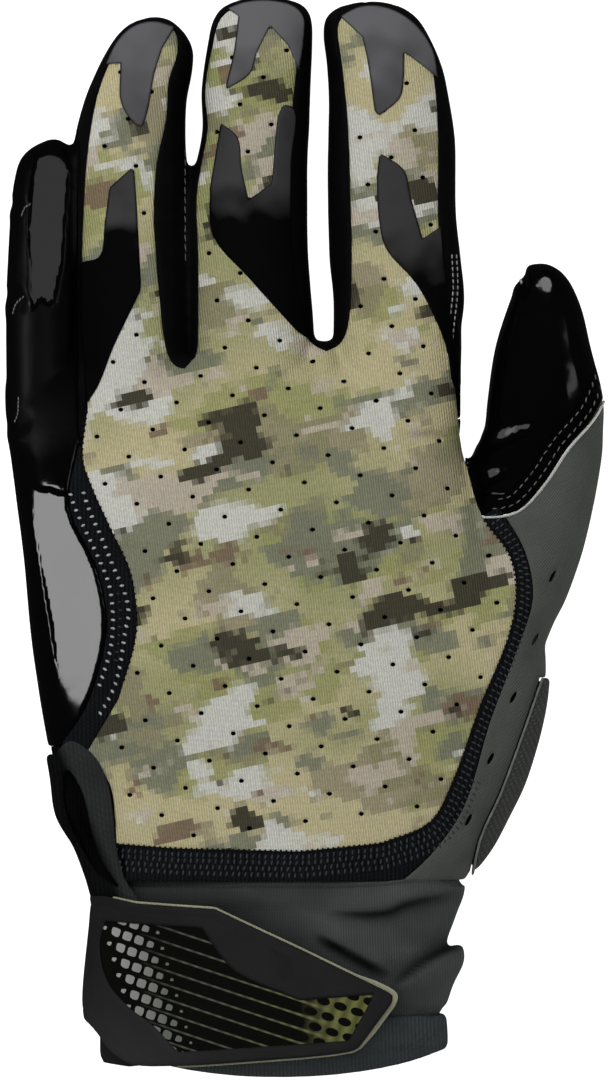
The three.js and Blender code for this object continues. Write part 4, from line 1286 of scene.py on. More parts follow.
faint_stitches = stitch_rows("edge_tape_middle_stitches", [(faint_row, open_step)],
                             hand_tree, (0.8, 0.4, 0.3), thread_lift, across_line)
border_path, _ = along_line(back_right[8:] + back_foot, 1.0)
upper_part = int(len(border_path) * braid_start)
braid_rows = [(offset_line(border_path, offset), braid_step) for offset in (1.2, 2.4)]
braid_rows += [(offset_line(border_path[upper_part:], offset), braid_step)
               for offset in (3.7, 5.0)]
braid_stitches = stitch_rows("border_braid", braid_rows, hand_tree, (1.2, 0.46, 0.3),
                             thread_lift, across_line)
edge_teeth = [(offset_line(border_path, 0.1), 1.1),
              (offset_line(back_left[-24:], 0.1), braid_step)]
edge_teeth_threads = stitch_rows("border_edge_threads", edge_teeth, hand_tree,
                                 (1.0, 0.6, 0.4), thread_lift, across_line)
thumb_stitches = stitch_rows("thumb_seam_stitches", [
    (offset_line(thumb_seam, -1.5)[1:20], open_step),
    (offset_line(thumb_seam, -3.4)[1:19], open_step)], hand_tree, (1.35, 0.3, 0.3), seam_lift)
hem_tree = tree_of(hem_form, 0.1)
hem_stitch_line = curve(spots(
    on_cuff, (0.2, 0.9), (0.39, 0.885), (0.65, 0.85), (0.8, 0.815), (0.93, 0.76)))
hem_stitches = stitch_rows("hem_stitches", [(hem_stitch_line, 1.5)], hem_tree,
                           (0.9, 0.36, 0.3), thread_lift)
seam_threads = stitch_rows("finger_seam_threads", [
    (curve(spots(ring_at, (0.76, 0.98), (0.5, 0.97), (0.29, 0.98))), 2.0)],
    hand_tree, (1.9, 0.2, 0.2), seam_lift)
# Grey grains on the little finger are painted highlights: they stand for the glints on its small
# creases.
skin_marks = stitch_rows("skin_marks", [
    (curve(spots(little_at, (0.655, -0.58), (0.69, -0.5), (0.71, -0.34))), 0.7),
    (curve(spots(little_at, (0.21, -0.82), (0.26, -0.72), (0.29, -0.52))), 0.8),
    (curve(spots(little_at, (-0.28, -0.77), (-0.24, -0.68), (-0.17, -0.66))), 0.8)],
    hand_tree, (0.9, 0.42, 0.2), 0.0)
index_edge = curve(spots(index_at, (0.3, 0.97), (0.2, 0.99), (0.08, 0.92), (-0.02, 0.9)))
index_threads = stitch_rows("index_edge_threads", [
    (index_edge, braid_step), (offset_line(index_edge, -1.0), braid_step)], hand_tree,
    (1.1, 0.32, 0.3), seam_lift)

# %% [markdown]
# Now the finishes. The same few effects come back in many cloths, so each is a node group
# with named sockets: a woven rib, soft wear, and the block camouflage print of the knit.

# %% Helpers for shader nodes


def new_group(name, inputs, outputs):
    group = bpy.data.node_groups.new(name, "ShaderNodeTree")
    for kind, label, value in inputs:
        socket = group.interface.new_socket(name=label, in_out="INPUT", socket_type=kind)
        if value is not None:
            socket.default_value = value
    for kind, label in outputs:
        group.interface.new_socket(name=label, in_out="OUTPUT", socket_type=kind)
    return group, group.nodes.new("NodeGroupInput"), group.nodes.new("NodeGroupOutput")


def plug(tree, socket, value):
    """Link another node's output to a socket, or set the socket to a plain value."""
    if isinstance(value, bpy.types.NodeSocket):
        tree.links.new(value, socket)
    else:
        socket.default_value = value


def add(tree, kind, settings=None, **values):
    """A node with its settings; i0, i1 and so on name an input by its number."""
    node = tree.nodes.new(kind)
    for key, value in (settings or {}).items():
        setattr(node, key, value)
    for key, value in values.items():
        numbered = key[0] == "i" and key[1:].isdigit()
        plug(tree, node.inputs[int(key[1:]) if numbered else key], value)
    return node


def calc(tree, operation, a, b=0.0, c=0.0):
    node = add(tree, "ShaderNodeMath", {"operation": operation}, i0=a, i1=b, i2=c)
    return node.outputs[0]


def mix_colours(tree, share, a, b):
    node = add(tree, "ShaderNodeMix", {"data_type": "RGBA"})
    for number, value in ((0, share), (6, a), (7, b)):
        plug(tree, node.inputs[number], value)
    return node.outputs[2]


print("shader helpers ready")

# %% [markdown]
# A woven cloth shows as two crossing rows of soft ribs. The rib group gives their height
# for the bump and a shade for the colour. The wear group gives slow blots and a fine
# grain, both from noise.

# %% Node groups for the weave and the wear
rib_group, rib_in, rib_out = new_group(
    "woven_rib",
    [("NodeSocketVector", "Place", None), ("NodeSocketFloat", "Slant", 0.0),
     ("NodeSocketFloat", "Pitch", 0.0006), ("NodeSocketFloat", "Cross Pitch", 0.0009),
     ("NodeSocketFloat", "Cross Share", 0.5), ("NodeSocketFloat", "Contrast", 0.4)],
    [("NodeSocketFloat", "Height"), ("NodeSocketFloat", "Shade")])
place = add(rib_group, "ShaderNodeSeparateXYZ", i0=rib_in.outputs["Place"])
px, py, pz = place.outputs
across = calc(rib_group, "MULTIPLY_ADD", py, rib_in.outputs["Slant"], px)
turn_a = calc(rib_group, "DIVIDE", calc(rib_group, "MULTIPLY", across, 2 * math.pi),
              rib_in.outputs["Pitch"])
up_along = calc(rib_group, "ADD", py, pz)
turn_b = calc(rib_group, "DIVIDE", calc(rib_group, "MULTIPLY", up_along, 2 * math.pi),
              rib_in.outputs["Cross Pitch"])
wave_a = calc(rib_group, "MULTIPLY_ADD", calc(rib_group, "SINE", turn_a), 0.5, 0.5)
wave_b = calc(rib_group, "MULTIPLY_ADD", calc(rib_group, "SINE", turn_b), 0.5, 0.5)
dip = calc(rib_group, "MULTIPLY", calc(rib_group, "SUBTRACT", 1.0, wave_b),
           rib_in.outputs["Cross Share"])
height = calc(rib_group, "MULTIPLY", wave_a, calc(rib_group, "SUBTRACT", 1.0, dip))
rib_group.links.new(height, rib_out.inputs["Height"])
shade = calc(rib_group, "MULTIPLY_ADD", calc(rib_group, "SUBTRACT", height, 0.4),
             rib_in.outputs["Contrast"], 1.0)
rib_group.links.new(shade, rib_out.inputs["Shade"])

wear_group, wear_in, wear_out = new_group(
    "soft_wear",
    [("NodeSocketVector", "Place", None), ("NodeSocketFloat", "Size", 0.01)],
    [("NodeSocketFloat", "Mask"), ("NodeSocketFloat", "Grain")])
scaled = add(wear_group, "ShaderNodeVectorMath", {"operation": "SCALE"},
             i0=wear_in.outputs["Place"])
per_size = calc(wear_group, "DIVIDE", 1.0, wear_in.outputs["Size"])
wear_group.links.new(per_size, scaled.inputs["Scale"])
slow = add(wear_group, "ShaderNodeTexNoise", Vector=scaled.outputs[0], Scale=1.0, Detail=3.0)
grain = add(wear_group, "ShaderNodeTexNoise", Vector=scaled.outputs[0], Scale=22.0, Detail=2.0)
wear_group.links.new(slow.outputs[0], wear_out.inputs["Mask"])
wear_group.links.new(grain.outputs[0], wear_out.inputs["Grain"])
print("groups", rib_group.name, wear_group.name)

# %% [markdown]
# The knit is printed with small blocks in a few muted colours. The place is snapped to a
# slanting grid, so all of a block reads one value of the noise. Each colour is a layer
# with its own blots, laid over the layers before it.

# %% The block print
print_group, print_in, print_out = new_group(
    "block_print",
    [("NodeSocketVector", "Place", None), ("NodeSocketFloat", "Block", 0.0013)],
    [("NodeSocketColor", "Colour")])


def srgb(r, g, b):
    """A screen colour from 0 to 255 as the shader's linear colour."""
    out = []
    for v in (r, g, b):
        v = v / 255
        out.append(v / 12.92 if v <= 0.04045 else ((v + 0.055) / 1.055) ** 2.4)
    return (*out, 1.0)


print_slant = math.radians(-13)
tilted = add(print_group, "ShaderNodeMapping", Vector=print_in.outputs["Place"])
tilted.inputs["Rotation"].default_value = (0, 0, print_slant)
cell = add(print_group, "ShaderNodeCombineXYZ", i0=print_in.outputs["Block"],
           i1=print_in.outputs["Block"], i2=1.0)
blocks = add(print_group, "ShaderNodeVectorMath", {"operation": "SNAP"}, i0=tilted.outputs[0],
             i1=cell.outputs[0])


def blotch(source, shift, size, detail, roughness):
    """Noise over the print, stretched so that its blots lie along the slant."""
    moved = add(print_group, "ShaderNodeMapping", Vector=source)
    moved.inputs["Location"].default_value = (shift, shift * 0.6, shift)
    moved.inputs["Scale"].default_value = (size[0], size[1], 0)
    return add(print_group, "ShaderNodeTexNoise", Vector=moved.outputs[0], Scale=1.0,
               Detail=detail, Roughness=roughness).outputs[0]


def ramp(value, start, end):
    return add(print_group, "ShaderNodeMapRange", {"interpolation_type": "SMOOTHSTEP"},
               i0=value, i1=start, i2=end).outputs[0]


# A soft drift from olive to tan, then blots whose blocks thin out at their edges
drift = ramp(blotch(tilted.outputs[0], 2.7, (22, 30), 2.0, 0.5), 0.4, 0.6)
colour = mix_colours(print_group, drift, srgb(138, 138, 100), srgb(166, 158, 124))
print_layers = [
    dict(colour=srgb(128, 131, 84), shift=17.3, size=(40, 64), over=0.56, strength=0.75),
    dict(colour=srgb(112, 106, 90), shift=5.2, size=(46, 70), over=0.57, strength=0.6),
    dict(colour=srgb(106, 108, 92), shift=7.9, size=(38, 62), over=0.55, strength=0.9),
    dict(colour=srgb(178, 178, 170), shift=1.3, size=(40, 66), over=0.563, strength=1.0),
    dict(colour=srgb(164, 155, 140), shift=13.1, size=(60, 100), over=0.6, strength=0.9),
    dict(colour=srgb(106, 90, 74), shift=31.2, size=(64, 96), over=0.655, strength=0.9),
    dict(colour=srgb(60, 57, 46), shift=41.9, size=(44, 76), over=0.605, strength=1.0),
]
softness = 0.018
for layer in print_layers:
    value = blotch(blocks.outputs[0], layer["shift"], layer["size"], 3.0, 0.55)
    hit = ramp(value, layer["over"] - softness, layer["over"] + softness)
    hit = calc(print_group, "MULTIPLY", hit, layer["strength"])
    colour = mix_colours(print_group, hit, colour, layer["colour"])
print_group.links.new(colour, print_out.inputs["Colour"])
print("print layers", len(print_layers))

# %% [markdown]
# Each finish is a Principled shader with its own colour, roughness and bump. The glossy
# grip skin is nearly black and mirrors the studio light, so its form shows only in the
# reflections. The cloths are rough, and their weave is a fine bump.

# %% Helpers for finishes


def new_finish(name, roughness, **shader_values):
    material = bpy.data.materials.new(name)
    material.use_nodes = True
    tree = material.node_tree
    shader = tree.nodes["Principled BSDF"]
    shader.inputs["Roughness"].default_value = roughness
    for key, value in shader_values.items():
        shader.inputs[key.replace("_", " ")].default_value = value
    place = tree.nodes.new("ShaderNodeTexCoord").outputs["Object"]
    return material, tree, shader, place


def use_group(tree, group, place, **values):
    node = tree.nodes.new("ShaderNodeGroup")
    node.node_tree = group
    tree.links.new(place, node.inputs["Place"])
    for key, value in values.items():
        node.inputs[key.replace("_", " ")].default_value = value
    return node


def bump(tree, shader, height, depth, strength=1.0):
    node = add(tree, "ShaderNodeBump", Height=height, Strength=strength, Distance=depth)
    tree.links.new(node.outputs[0], shader.inputs["Normal"])


def shade_colour(tree, colour, shade):
    """The colour made darker or lighter by a number around one."""
    node = add(tree, "ShaderNodeVectorMath", {"operation": "SCALE"})
    plug(tree, node.inputs[0], colour if isinstance(colour, bpy.types.NodeSocket) else colour[:3])
    tree.links.new(shade, node.inputs["Scale"])
    return node.outputs[0]


print("finish helpers ready")

# %% [markdown]
# The knit wears the block print under fine upright ribs and a soft fleck. The grip skin
# has a clear coat over a nearly black base, and is duller where its points say so. The
# side walls have the same base with less gloss.

# %% The knit, the grip skin and the side walls
knit_finish, tree, shader, place = new_finish("printed_knit", 0.9, Specular_IOR_Level=0.15)
print_node = use_group(tree, print_group, place)
rib = use_group(tree, rib_group, place, Slant=0.12, Pitch=0.00052, Cross_Pitch=0.0011,
                Cross_Share=0.35, Contrast=0.36)
wear = use_group(tree, wear_group, place, Size=0.012)
fleck = calc(tree, "MULTIPLY_ADD", wear.outputs["Grain"], 0.55, 0.73)
shade = calc(tree, "MULTIPLY", rib.outputs["Shade"], fleck)
tree.links.new(shade_colour(tree, print_node.outputs["Colour"], shade), shader.inputs["Base Color"])
bump(tree, shader, rib.outputs["Height"], 0.00012)

gloss_finish, tree, shader, place = new_finish("grip_skin_gloss", 0.1, Coat_Roughness=0.05)
wear = use_group(tree, wear_group, place, Size=0.012)
stored = add(tree, "ShaderNodeAttribute", {"attribute_name": "dull"})
tree.links.new(mix_colours(tree, wear.outputs["Mask"], srgb(1, 1, 1), srgb(5, 5, 5)),
               shader.inputs["Base Color"])
tree.links.new(calc(tree, "MULTIPLY_ADD", wear.outputs["Mask"], 0.1,
                    calc(tree, "MULTIPLY_ADD", stored.outputs["Fac"], 0.34, 0.05)),
               shader.inputs["Roughness"])
tree.links.new(calc(tree, "MULTIPLY_ADD", stored.outputs["Fac"], -0.5, 0.5),
               shader.inputs["Coat Weight"])
bump(tree, shader, wear.outputs["Mask"], 0.0004, 0.4)

side_finish, tree, shader, place = new_finish("side_skin_satin", 0.3, Coat_Weight=0.2,
                                              Coat_Roughness=0.15)
wear = use_group(tree, wear_group, place, Size=0.006)
tree.links.new(mix_colours(tree, wear.outputs["Mask"], srgb(4, 4, 4), srgb(12, 12, 13)),
               shader.inputs["Base Color"])
bump(tree, shader, wear.outputs["Mask"], 0.0006, 0.6)
print("finishes", len(bpy.data.materials))

# %% [markdown]
# The cloths differ only in colour, slant, pitch and contrast of their ribs, so one
# function makes them all. Some carry painted shade: they are darker where their points
# store a shadow.

# %% The cloths
fleck_share = 0.5


def cloth_finish(name, colour, roughness=0.9, depth=0.0002, shadow=None, **rib_values):
    """A rough woven cloth with its own ribs."""
    material, tree, shader, place = new_finish(name, roughness, Specular_IOR_Level=0.25)
    rib = use_group(tree, rib_group, place, **rib_values)
    wear = use_group(tree, wear_group, place, Size=0.008)
    shade = calc(tree, "MULTIPLY", rib.outputs["Shade"],
                 calc(tree, "MULTIPLY_ADD", wear.outputs["Mask"], fleck_share, 1 - fleck_share / 2))
    # Painted shade: the stored shadow darkens the colour.
    if shadow:
        stored = add(tree, "ShaderNodeAttribute", {"attribute_name": shadow})
        shade = calc(tree, "MULTIPLY", shade, calc(tree, "SUBTRACT", 1.0, stored.outputs["Fac"]))
    tree.links.new(shade_colour(tree, colour, shade), shader.inputs["Base Color"])
    bump(tree, shader, rib.outputs["Height"], depth)
    return material


tape_finish = cloth_finish("mesh_tape_weave", srgb(15, 16, 18), Slant=0.0, Pitch=0.0009,
                           Cross_Pitch=0.0009, Contrast=0.9)
twill_finish = cloth_finish("gusset_twill", srgb(70, 73, 69), Slant=-0.75, Pitch=0.0006,
                            Cross_Pitch=0.0012, Cross_Share=0.3, Contrast=0.26, depth=0.0001)
heel_finish = cloth_finish("heel_pad_pebble", srgb(62, 64, 61), Slant=0.4, Pitch=0.0011,
                           Cross_Pitch=0.0011, Cross_Share=0.9, Contrast=0.8, depth=0.0003)
cuff_finish = cloth_finish("cuff_stretch_rib", srgb(61, 64, 63), shadow="shadow", Slant=0.03,
                           Pitch=0.00055, Cross_Pitch=0.0009, Cross_Share=0.5, Contrast=0.3,
                           depth=0.0001)
hem_finish = cloth_finish("hem_binding", srgb(50, 55, 56), roughness=0.7, Slant=0.03,
                          Pitch=0.0008, Cross_Pitch=0.0016, Cross_Share=0.6, Contrast=0.4)
rim_finish = cloth_finish("vent_rim_cloth", srgb(36, 37, 37), shadow="shadow", Slant=0.1,
                          Pitch=0.0009, Cross_Pitch=0.0014, Contrast=0.4)
hollow_finish = cloth_finish("vent_lining", srgb(6, 6, 7), Slant=0.0, Pitch=0.0008,
                             Cross_Pitch=0.0011, Contrast=0.4)
khaki_finish = cloth_finish("khaki_trim_edge", srgb(140, 139, 118), roughness=0.7, Slant=0.3,
                            Pitch=0.0005, Cross_Pitch=0.0005, Contrast=0.25, depth=0.00008)
cream_finish = cloth_finish("cream_piping", srgb(182, 182, 178), roughness=0.6, Slant=0.8,
                            Pitch=0.0006, Cross_Pitch=0.0006, Contrast=0.35, depth=0.0001)

print("finishes", len(bpy.data.materials))

# %% [markdown]
# The moulded film fades from grey at its tip to black at its root. The tab and the strap
# are dull rubber, and the tab carries painted light at its lower outer corner. The threads
# drift between two greys.

# %% The film, the rubber and the threads
film_finish, tree, shader, place = new_finish("moulded_film_fade", 0.5, Specular_IOR_Level=0.25)
fade = tree.nodes.new("ShaderNodeAttribute")
fade.attribute_name = "fade"
wear = use_group(tree, wear_group, place, Size=0.01)
blotchy = calc(tree, "MULTIPLY_ADD", calc(tree, "SUBTRACT", wear.outputs["Mask"], 0.5), 0.35,
               fade.outputs["Fac"])
blotchy = calc(tree, "MINIMUM", calc(tree, "MAXIMUM", blotchy, 0.0), fade.outputs["Fac"])
colour = mix_colours(tree, blotchy, srgb(5, 5, 6), srgb(88, 88, 90))
film_shade = calc(tree, "MULTIPLY_ADD", wear.outputs["Mask"], 0.2, 0.9)
tree.links.new(shade_colour(tree, colour, film_shade), shader.inputs["Base Color"])
bump(tree, shader, wear.outputs["Grain"], 0.00006, 0.4)

tab_finish, tree, shader, place = new_finish("tab_rubber", 0.55)
wear = use_group(tree, wear_group, place, Size=0.005)
# Painted light and shade: the stored shadow scales the colour; on the tab it is below zero, a painted
# light.
stored = add(tree, "ShaderNodeAttribute", {"attribute_name": "shadow"})
colour = mix_colours(tree, wear.outputs["Mask"], srgb(22, 22, 23), srgb(29, 29, 30))
tree.links.new(shade_colour(tree, colour, calc(tree, "SUBTRACT", 1.0, stored.outputs["Fac"])),
               shader.inputs["Base Color"])
bump(tree, shader, wear.outputs["Grain"], 0.00008, 0.5)


def thread(name, dark, pale):
    """A thread that drifts between two greys along its run."""
    material, tree, shader, place = new_finish(name, 0.7)
    wear = use_group(tree, wear_group, place, Size=0.002)
    tree.links.new(mix_colours(tree, wear.outputs["Mask"], srgb(*dark), srgb(*pale)),
                   shader.inputs["Base Color"])
    return material


thread_finish = thread("grey_thread", (80, 80, 82), (190, 190, 192))
dull_thread_and_glint_finish = thread("dull_grey_thread_and_glint", (44, 44, 46), (118, 118, 120))
dark_thread_finish = thread("charcoal_thread", (28, 29, 32), (64, 65, 70))
black_thread_finish = thread("black_thread", (7, 7, 8), (20, 20, 21))
print("finishes", len(bpy.data.materials))

# %% [markdown]
# The window of the tab carries a halftone: silver dots at its outer end, which shrink
# towards the middle, thin slanting lines, and an olive ground with dark ovals at the far
# end. Both axes of the lattice are written as numbers on the surface's own place.

# %% The window's halftone
window_finish, tree, shader, place = new_finish("window_halftone", 0.16, Coat_Weight=0.5,
                                                Coat_Roughness=0.1)
window_left = on_cuff(-1.01, 0)[0] * mm
window_width = (on_cuff(0.54, 0)[0] - on_cuff(-1.01, 0)[0]) * mm
row_pitch = 0.0028
dot_pitch = 0.0026
oval_pitch = 0.0037
turned = add(tree, "ShaderNodeMapping", Vector=place)
turned.inputs["Rotation"].default_value = (0, 0, math.radians(18))
lattice = add(tree, "ShaderNodeSeparateXYZ", i0=turned.outputs[0])
straight = add(tree, "ShaderNodeSeparateXYZ", i0=place)
share = calc(tree, "SUBTRACT", straight.outputs[0], window_left)
share = calc(tree, "DIVIDE", share, window_width)
row = calc(tree, "DIVIDE", lattice.outputs[1], row_pitch)
row_number = calc(tree, "FLOOR", row)
row_part = calc(tree, "SUBTRACT", calc(tree, "FRACT", row), 0.5)


def lattice_distance(pitch, stretch, lean, corner):
    """Distance to the nearest point of a lattice whose rows lean over each other."""
    column = calc(tree, "DIVIDE", lattice.outputs[0], pitch)
    column = calc(tree, "MULTIPLY_ADD", row_number, lean, column)
    part = calc(tree, "SUBTRACT", calc(tree, "FRACT", column), 0.5)
    across = calc(tree, "POWER", calc(tree, "ABSOLUTE", part), corner)
    along = calc(tree, "ABSOLUTE", calc(tree, "MULTIPLY", row_part, stretch))
    along = calc(tree, "POWER", along, corner)
    return calc(tree, "POWER", calc(tree, "ADD", across, along), 1 / corner)


def clamp(value):
    return calc(tree, "MINIMUM", calc(tree, "MAXIMUM", value, 0.0), 1.0)


def waves(value, pitch):
    """A smooth wave between 0 and 1 that repeats with the pitch in metres."""
    turns = calc(tree, "MULTIPLY", value, 2 * math.pi / pitch)
    return calc(tree, "MULTIPLY_ADD", calc(tree, "SINE", turns), 0.5, 0.5)


window_middle = on_cuff(0, 0.43)[1] * mm
above_middle = calc(tree, "SUBTRACT", straight.outputs[1], window_middle)
dot_share = calc(tree, "MULTIPLY_ADD", above_middle, 5.0, share)
dot_size = calc(tree, "MINIMUM", calc(tree, "MULTIPLY_ADD", dot_share, 7.0, -0.3),
                calc(tree, "MULTIPLY_ADD", dot_share, -3.6, 1.05))
dot_size = calc(tree, "MINIMUM", dot_size, 0.37)
dots = calc(tree, "LESS_THAN", lattice_distance(dot_pitch, 1.15, 0.75, 4.0), dot_size)
line_width = clamp(calc(tree, "MULTIPLY_ADD", share, 3.0, -2.0))
line_width = calc(tree, "MULTIPLY_ADD", line_width, 0.1, 0.07)
from_line = calc(tree, "SUBTRACT", 0.5, calc(tree, "ABSOLUTE", row_part))
lines = calc(tree, "LESS_THAN", from_line, line_width)
net_share = clamp(calc(tree, "MULTIPLY_ADD", share, 8.0, -5.9))
net = calc(tree, "GREATER_THAN", lattice_distance(oval_pitch, 1.25, 0.5, 2.2), 0.375)
lines = calc(tree, "MAXIMUM", lines, calc(tree, "MULTIPLY", net, net_share))
knots = calc(tree, "MULTIPLY_ADD", waves(lattice.outputs[0], dot_pitch), 0.5, 0.5)
fade_in = clamp(calc(tree, "MULTIPLY_ADD", share, 6.0, -0.9))
olive_share = calc(tree, "MULTIPLY", calc(tree, "MULTIPLY", lines, fade_in), knots)
olive = mix_colours(tree, clamp(calc(tree, "MULTIPLY_ADD", share, 2.2, -1.0)),
                    srgb(74, 76, 66), srgb(98, 100, 54))
colour = mix_colours(tree, olive_share, srgb(10, 11, 8), olive)
silver = mix_colours(tree, clamp(calc(tree, "MULTIPLY", share, 4.0)),
                     srgb(150, 150, 148), srgb(90, 92, 86))
colour = mix_colours(tree, dots, colour, silver)
tree.links.new(colour, shader.inputs["Base Color"])
bump(tree, shader, dots, 0.0002, 0.5)
print("halftone nodes", len(tree.nodes))

# %% [markdown]
# The film's fade is stored on its points: high at the fingertip end of each film and zero
# at its root. The cuff stores painted shade: how deep each point lies in the shadow of its
# folds, beside the tab and under the border tape. The vent rim stores painted shade on its
# outer side, and the tab painted light at its lower outer corner, as a shade below zero.
# The little finger stores how dull its skin is round the flat top. All are attributes, so
# they stay with the mesh wherever the glove goes.

# %% Store the fade on the films and the painted shade on the cuff, the rim and the tab
film_fades = {
    "ring_tip": (0.66, 0.97, 0.55, 0.9), "middle_tip": (0.72, 0.97, 0.6, 1.15),
    "index_tip": (0.66, 0.96, 0.45, 1.0), "ring_knuckle": (0.34, 0.42, 0.0, 0.3),
    "middle_knuckle": (0.38, 0.5, 0.0, 0.3), "index_knuckle": (0.2, 0.38, 0.0, 0.27)}
fade_drift = dict(tip=0.13, knuckle=0.05)
dark_rim = 0.35
# Painted shade on the cuff: beside its folds, beside the tab and below the border tape.
shadow_start = 0.9
tab_painted_shade = 0.4
tab_painted_shade_outer = 0.25
tab_reach = 3.5
tab_reach_outer = 5.5
tape_painted_shade = 0.42
tape_reach = 6
# Painted shade on the vent rim's outer side, and painted light on the tab's lower outer corner.
vent_rim_painted_shade = 0.85
tab_painted_light = 0.8


def store(piece, name, values):
    """A number on every point of a piece, for its finish to read."""
    layer = piece.data.attributes.new(name, "FLOAT", "POINT")
    layer.data.foreach_set("value", values)


def fold_shadow(points):
    """Painted shade on the cuff, from zero to one: under its folds, beside the tab and under the
    tape.
    """
    out = np.zeros(len(points))
    for fold in cuff_folds:
        past, fade = beside_fold(points, fold)
        width = np.where(past > -shadow_start, fold_drop, fold["shadow"])
        dark = fold["dark"] * np.exp(-((past + shadow_start) / width) ** 2) * fade ** 0.5
        out = np.maximum(out, dark)
    beside_tab = np.clip(distance_to(tab_outline, points), 0, 50)
    outer_share = np.clip((on_cuff(0.5, 0)[0] - points[:, 0]) / (0.7 * half_wrist), 0, 1)
    reach = tab_reach + tab_reach_outer * outer_share
    beside_tab = (tab_painted_shade + tab_painted_shade_outer * outer_share) * np.exp(-(beside_tab / reach) ** 2)
    under_tape = np.exp(-((hand_y - points[:, 1]) / tape_reach) ** 2)
    under_tape *= tape_painted_shade * np.clip((on_cuff(0.65, 0)[0] - points[:, 0]) / (0.4 * half_wrist), 0, 1)
    return np.maximum(out, np.maximum(beside_tab, under_tape))


for name, (start, end, low, high) in film_fades.items():
    finger, part = name.split("_")
    root_y = digits[finger]["root"][1]
    points = points_of(films[name])
    along = (points[:, 1] - root_y) / digits[finger]["length"]
    along = along + lumps(points, fade_drift[part], 4.5, 6.4)
    t = np.clip((along - start) / (end - start), 0, 1)
    t = t * t * (3 - 2 * t)
    rim = np.clip(-distance_to(film_outlines[name], points) / dark_rim, 0, 1) ** 2
    store(films[name], "fade", (low + (high - low) * t) * rim)
store(cuff, "shadow", fold_shadow(points_of(cuff)))
points = points_of(little_wrap)
dull = np.clip(distance_to(facets["little_finger"]["area"], points) / 0.5, 0, 1)
dull *= np.clip((points[:, 1] - little_at(-0.45, 0)[1]) / 9, 0, 1)
store(little_wrap, "dull", dull)
# Painted shade on the vent rim: darker on its outer side, beyond the hollow's middle line.
points = points_of(vent_rim)
(x0, y0), (x1, y1) = on_palm(-0.75, 0.25), on_palm(-0.5, -0.02)
past_middle = points[:, 0] - x0 - (points[:, 1] - y0) * (x1 - x0) / (y1 - y0)
store(vent_rim, "shadow", vent_rim_painted_shade * np.clip(0.5 - past_middle / 2, 0, 1))
# Painted light on the tab: lighter towards its lower outer corner, stored as a shade below zero.
points = points_of(tab)
outer_share = np.clip((on_cuff(-0.3, 0)[0] - points[:, 0]) / (0.5 * half_wrist), 0, 1)
lower_share = np.clip((on_cuff(0, 0.45)[1] - points[:, 1]) / (0.4 * cuff_length), 0, 1)
store(tab, "shadow", -tab_painted_light * outer_share * lower_share)
print("stored on", len(film_fades), "films, the cuff, the little finger, the rim and the tab")

# %% [markdown]
# Every piece now takes its finish and rides on the glove's one body, and the imported
# solids that it stands for are hidden.

# %% Dress the pieces
body = "root"


def dress(piece, finish, slot, *nodes):
    piece.data.materials.clear()
    piece.data.materials.append(finish)
    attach(piece, body)
    if nodes:
        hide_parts(*nodes)


dress(knit_back, knit_finish, "perforated_knit", "back_panel")
dress(grip_palm, gloss_finish, "grip_skin", "palm_panel")
dress(little_wrap, gloss_finish, "grip_skin", "little_finger_wrap")
dress(thumb_stall, gloss_finish, "grip_skin", "thumb_panel")
dress(edge_tape, tape_finish, "mesh_tape", "outer_edge_tape")
dress(border_tape, tape_finish, "mesh_tape", "back_border_tape")
dress(vent_rim, rim_finish, "mesh_tape", "vent_binding")
dress(seam_tape, gloss_finish, "grip_skin", "thumb_seam_tape")
dress(gusset, twill_finish, "twill_cloth", "thumb_gusset")
dress(vent_cloth, hollow_finish, "twill_cloth", "vent_gusset")
dress(heel_panel, heel_finish, "textured_pad", "heel_pad")
for name, piece in sides.items():
    dress(piece, side_finish, "side_skin", name)
for name, piece in films.items():
    dress(piece, film_finish, "moulded_film", "overlay_" + name)
dress(piping, cream_finish, "khaki_trim", "thumb_piping")
dress(heel_line, dull_thread_and_glint_finish, "textured_pad")
dress(tip_seam, thread_finish, "grip_skin")
dress(backing, khaki_finish, "khaki_trim", "tab_backing")
dress(cuff, cuff_finish, "neoprene", "wrist_cuff")
dress(hem, hem_finish, "neoprene", "cuff_hem")
dress(strap, tab_finish, "strap_rubber", "wrist_strap")
dress(tab, tab_finish, "strap_rubber", "strap_tab")
dress(inlay, window_finish, "window_gloss", "tab_inlay")
dress(edge_stitches, thread_finish, "mesh_tape")
dress(faint_stitches, dark_thread_finish, "mesh_tape")
dress(braid_stitches, dark_thread_finish, "mesh_tape")
dress(edge_teeth_threads, black_thread_finish, "mesh_tape")
dress(thumb_stitches, dull_thread_and_glint_finish, "grip_skin")
dress(hem_stitches, dark_thread_finish, "neoprene")
dress(skin_marks, dull_thread_and_glint_finish, "grip_skin")
dress(seam_threads, dull_thread_and_glint_finish, "side_skin")
dress(index_threads, thread_finish, "side_skin")

# %% [markdown]
# The glove lies on pale paper under one large soft panel, which lights the cloth evenly.
# Everything round it is dark, which keeps the edges of the gloss black. The panels are
# hidden from reflections, because the gloss gets small lamps of its own.

# %% Floor and soft light
bpy.ops.object.select_all(action="DESELECT")
bpy.ops.mesh.primitive_plane_add(size=6.0, location=(0, 0, 0))
floor = bpy.context.object
floor.name = "pale_floor"
floor_finish, tree, shader, place = new_finish("pale_paper", 0.9)
shader.inputs["Base Color"].default_value = (0.5, 0.5, 0.5, 1)
shader.inputs["Specular IOR Level"].default_value = 0.1
shader.inputs["Emission Color"].default_value = (1, 1, 1, 1)
shader.inputs["Emission Strength"].default_value = 1.0
floor.data.materials.append(floor_finish)
floor.visible_glossy = False

world = bpy.data.worlds.new("dark_studio")
world.use_nodes = True
world.node_tree.nodes["Background"].inputs["Color"].default_value = (0.01, 0.01, 0.01, 1)
scene.world = world


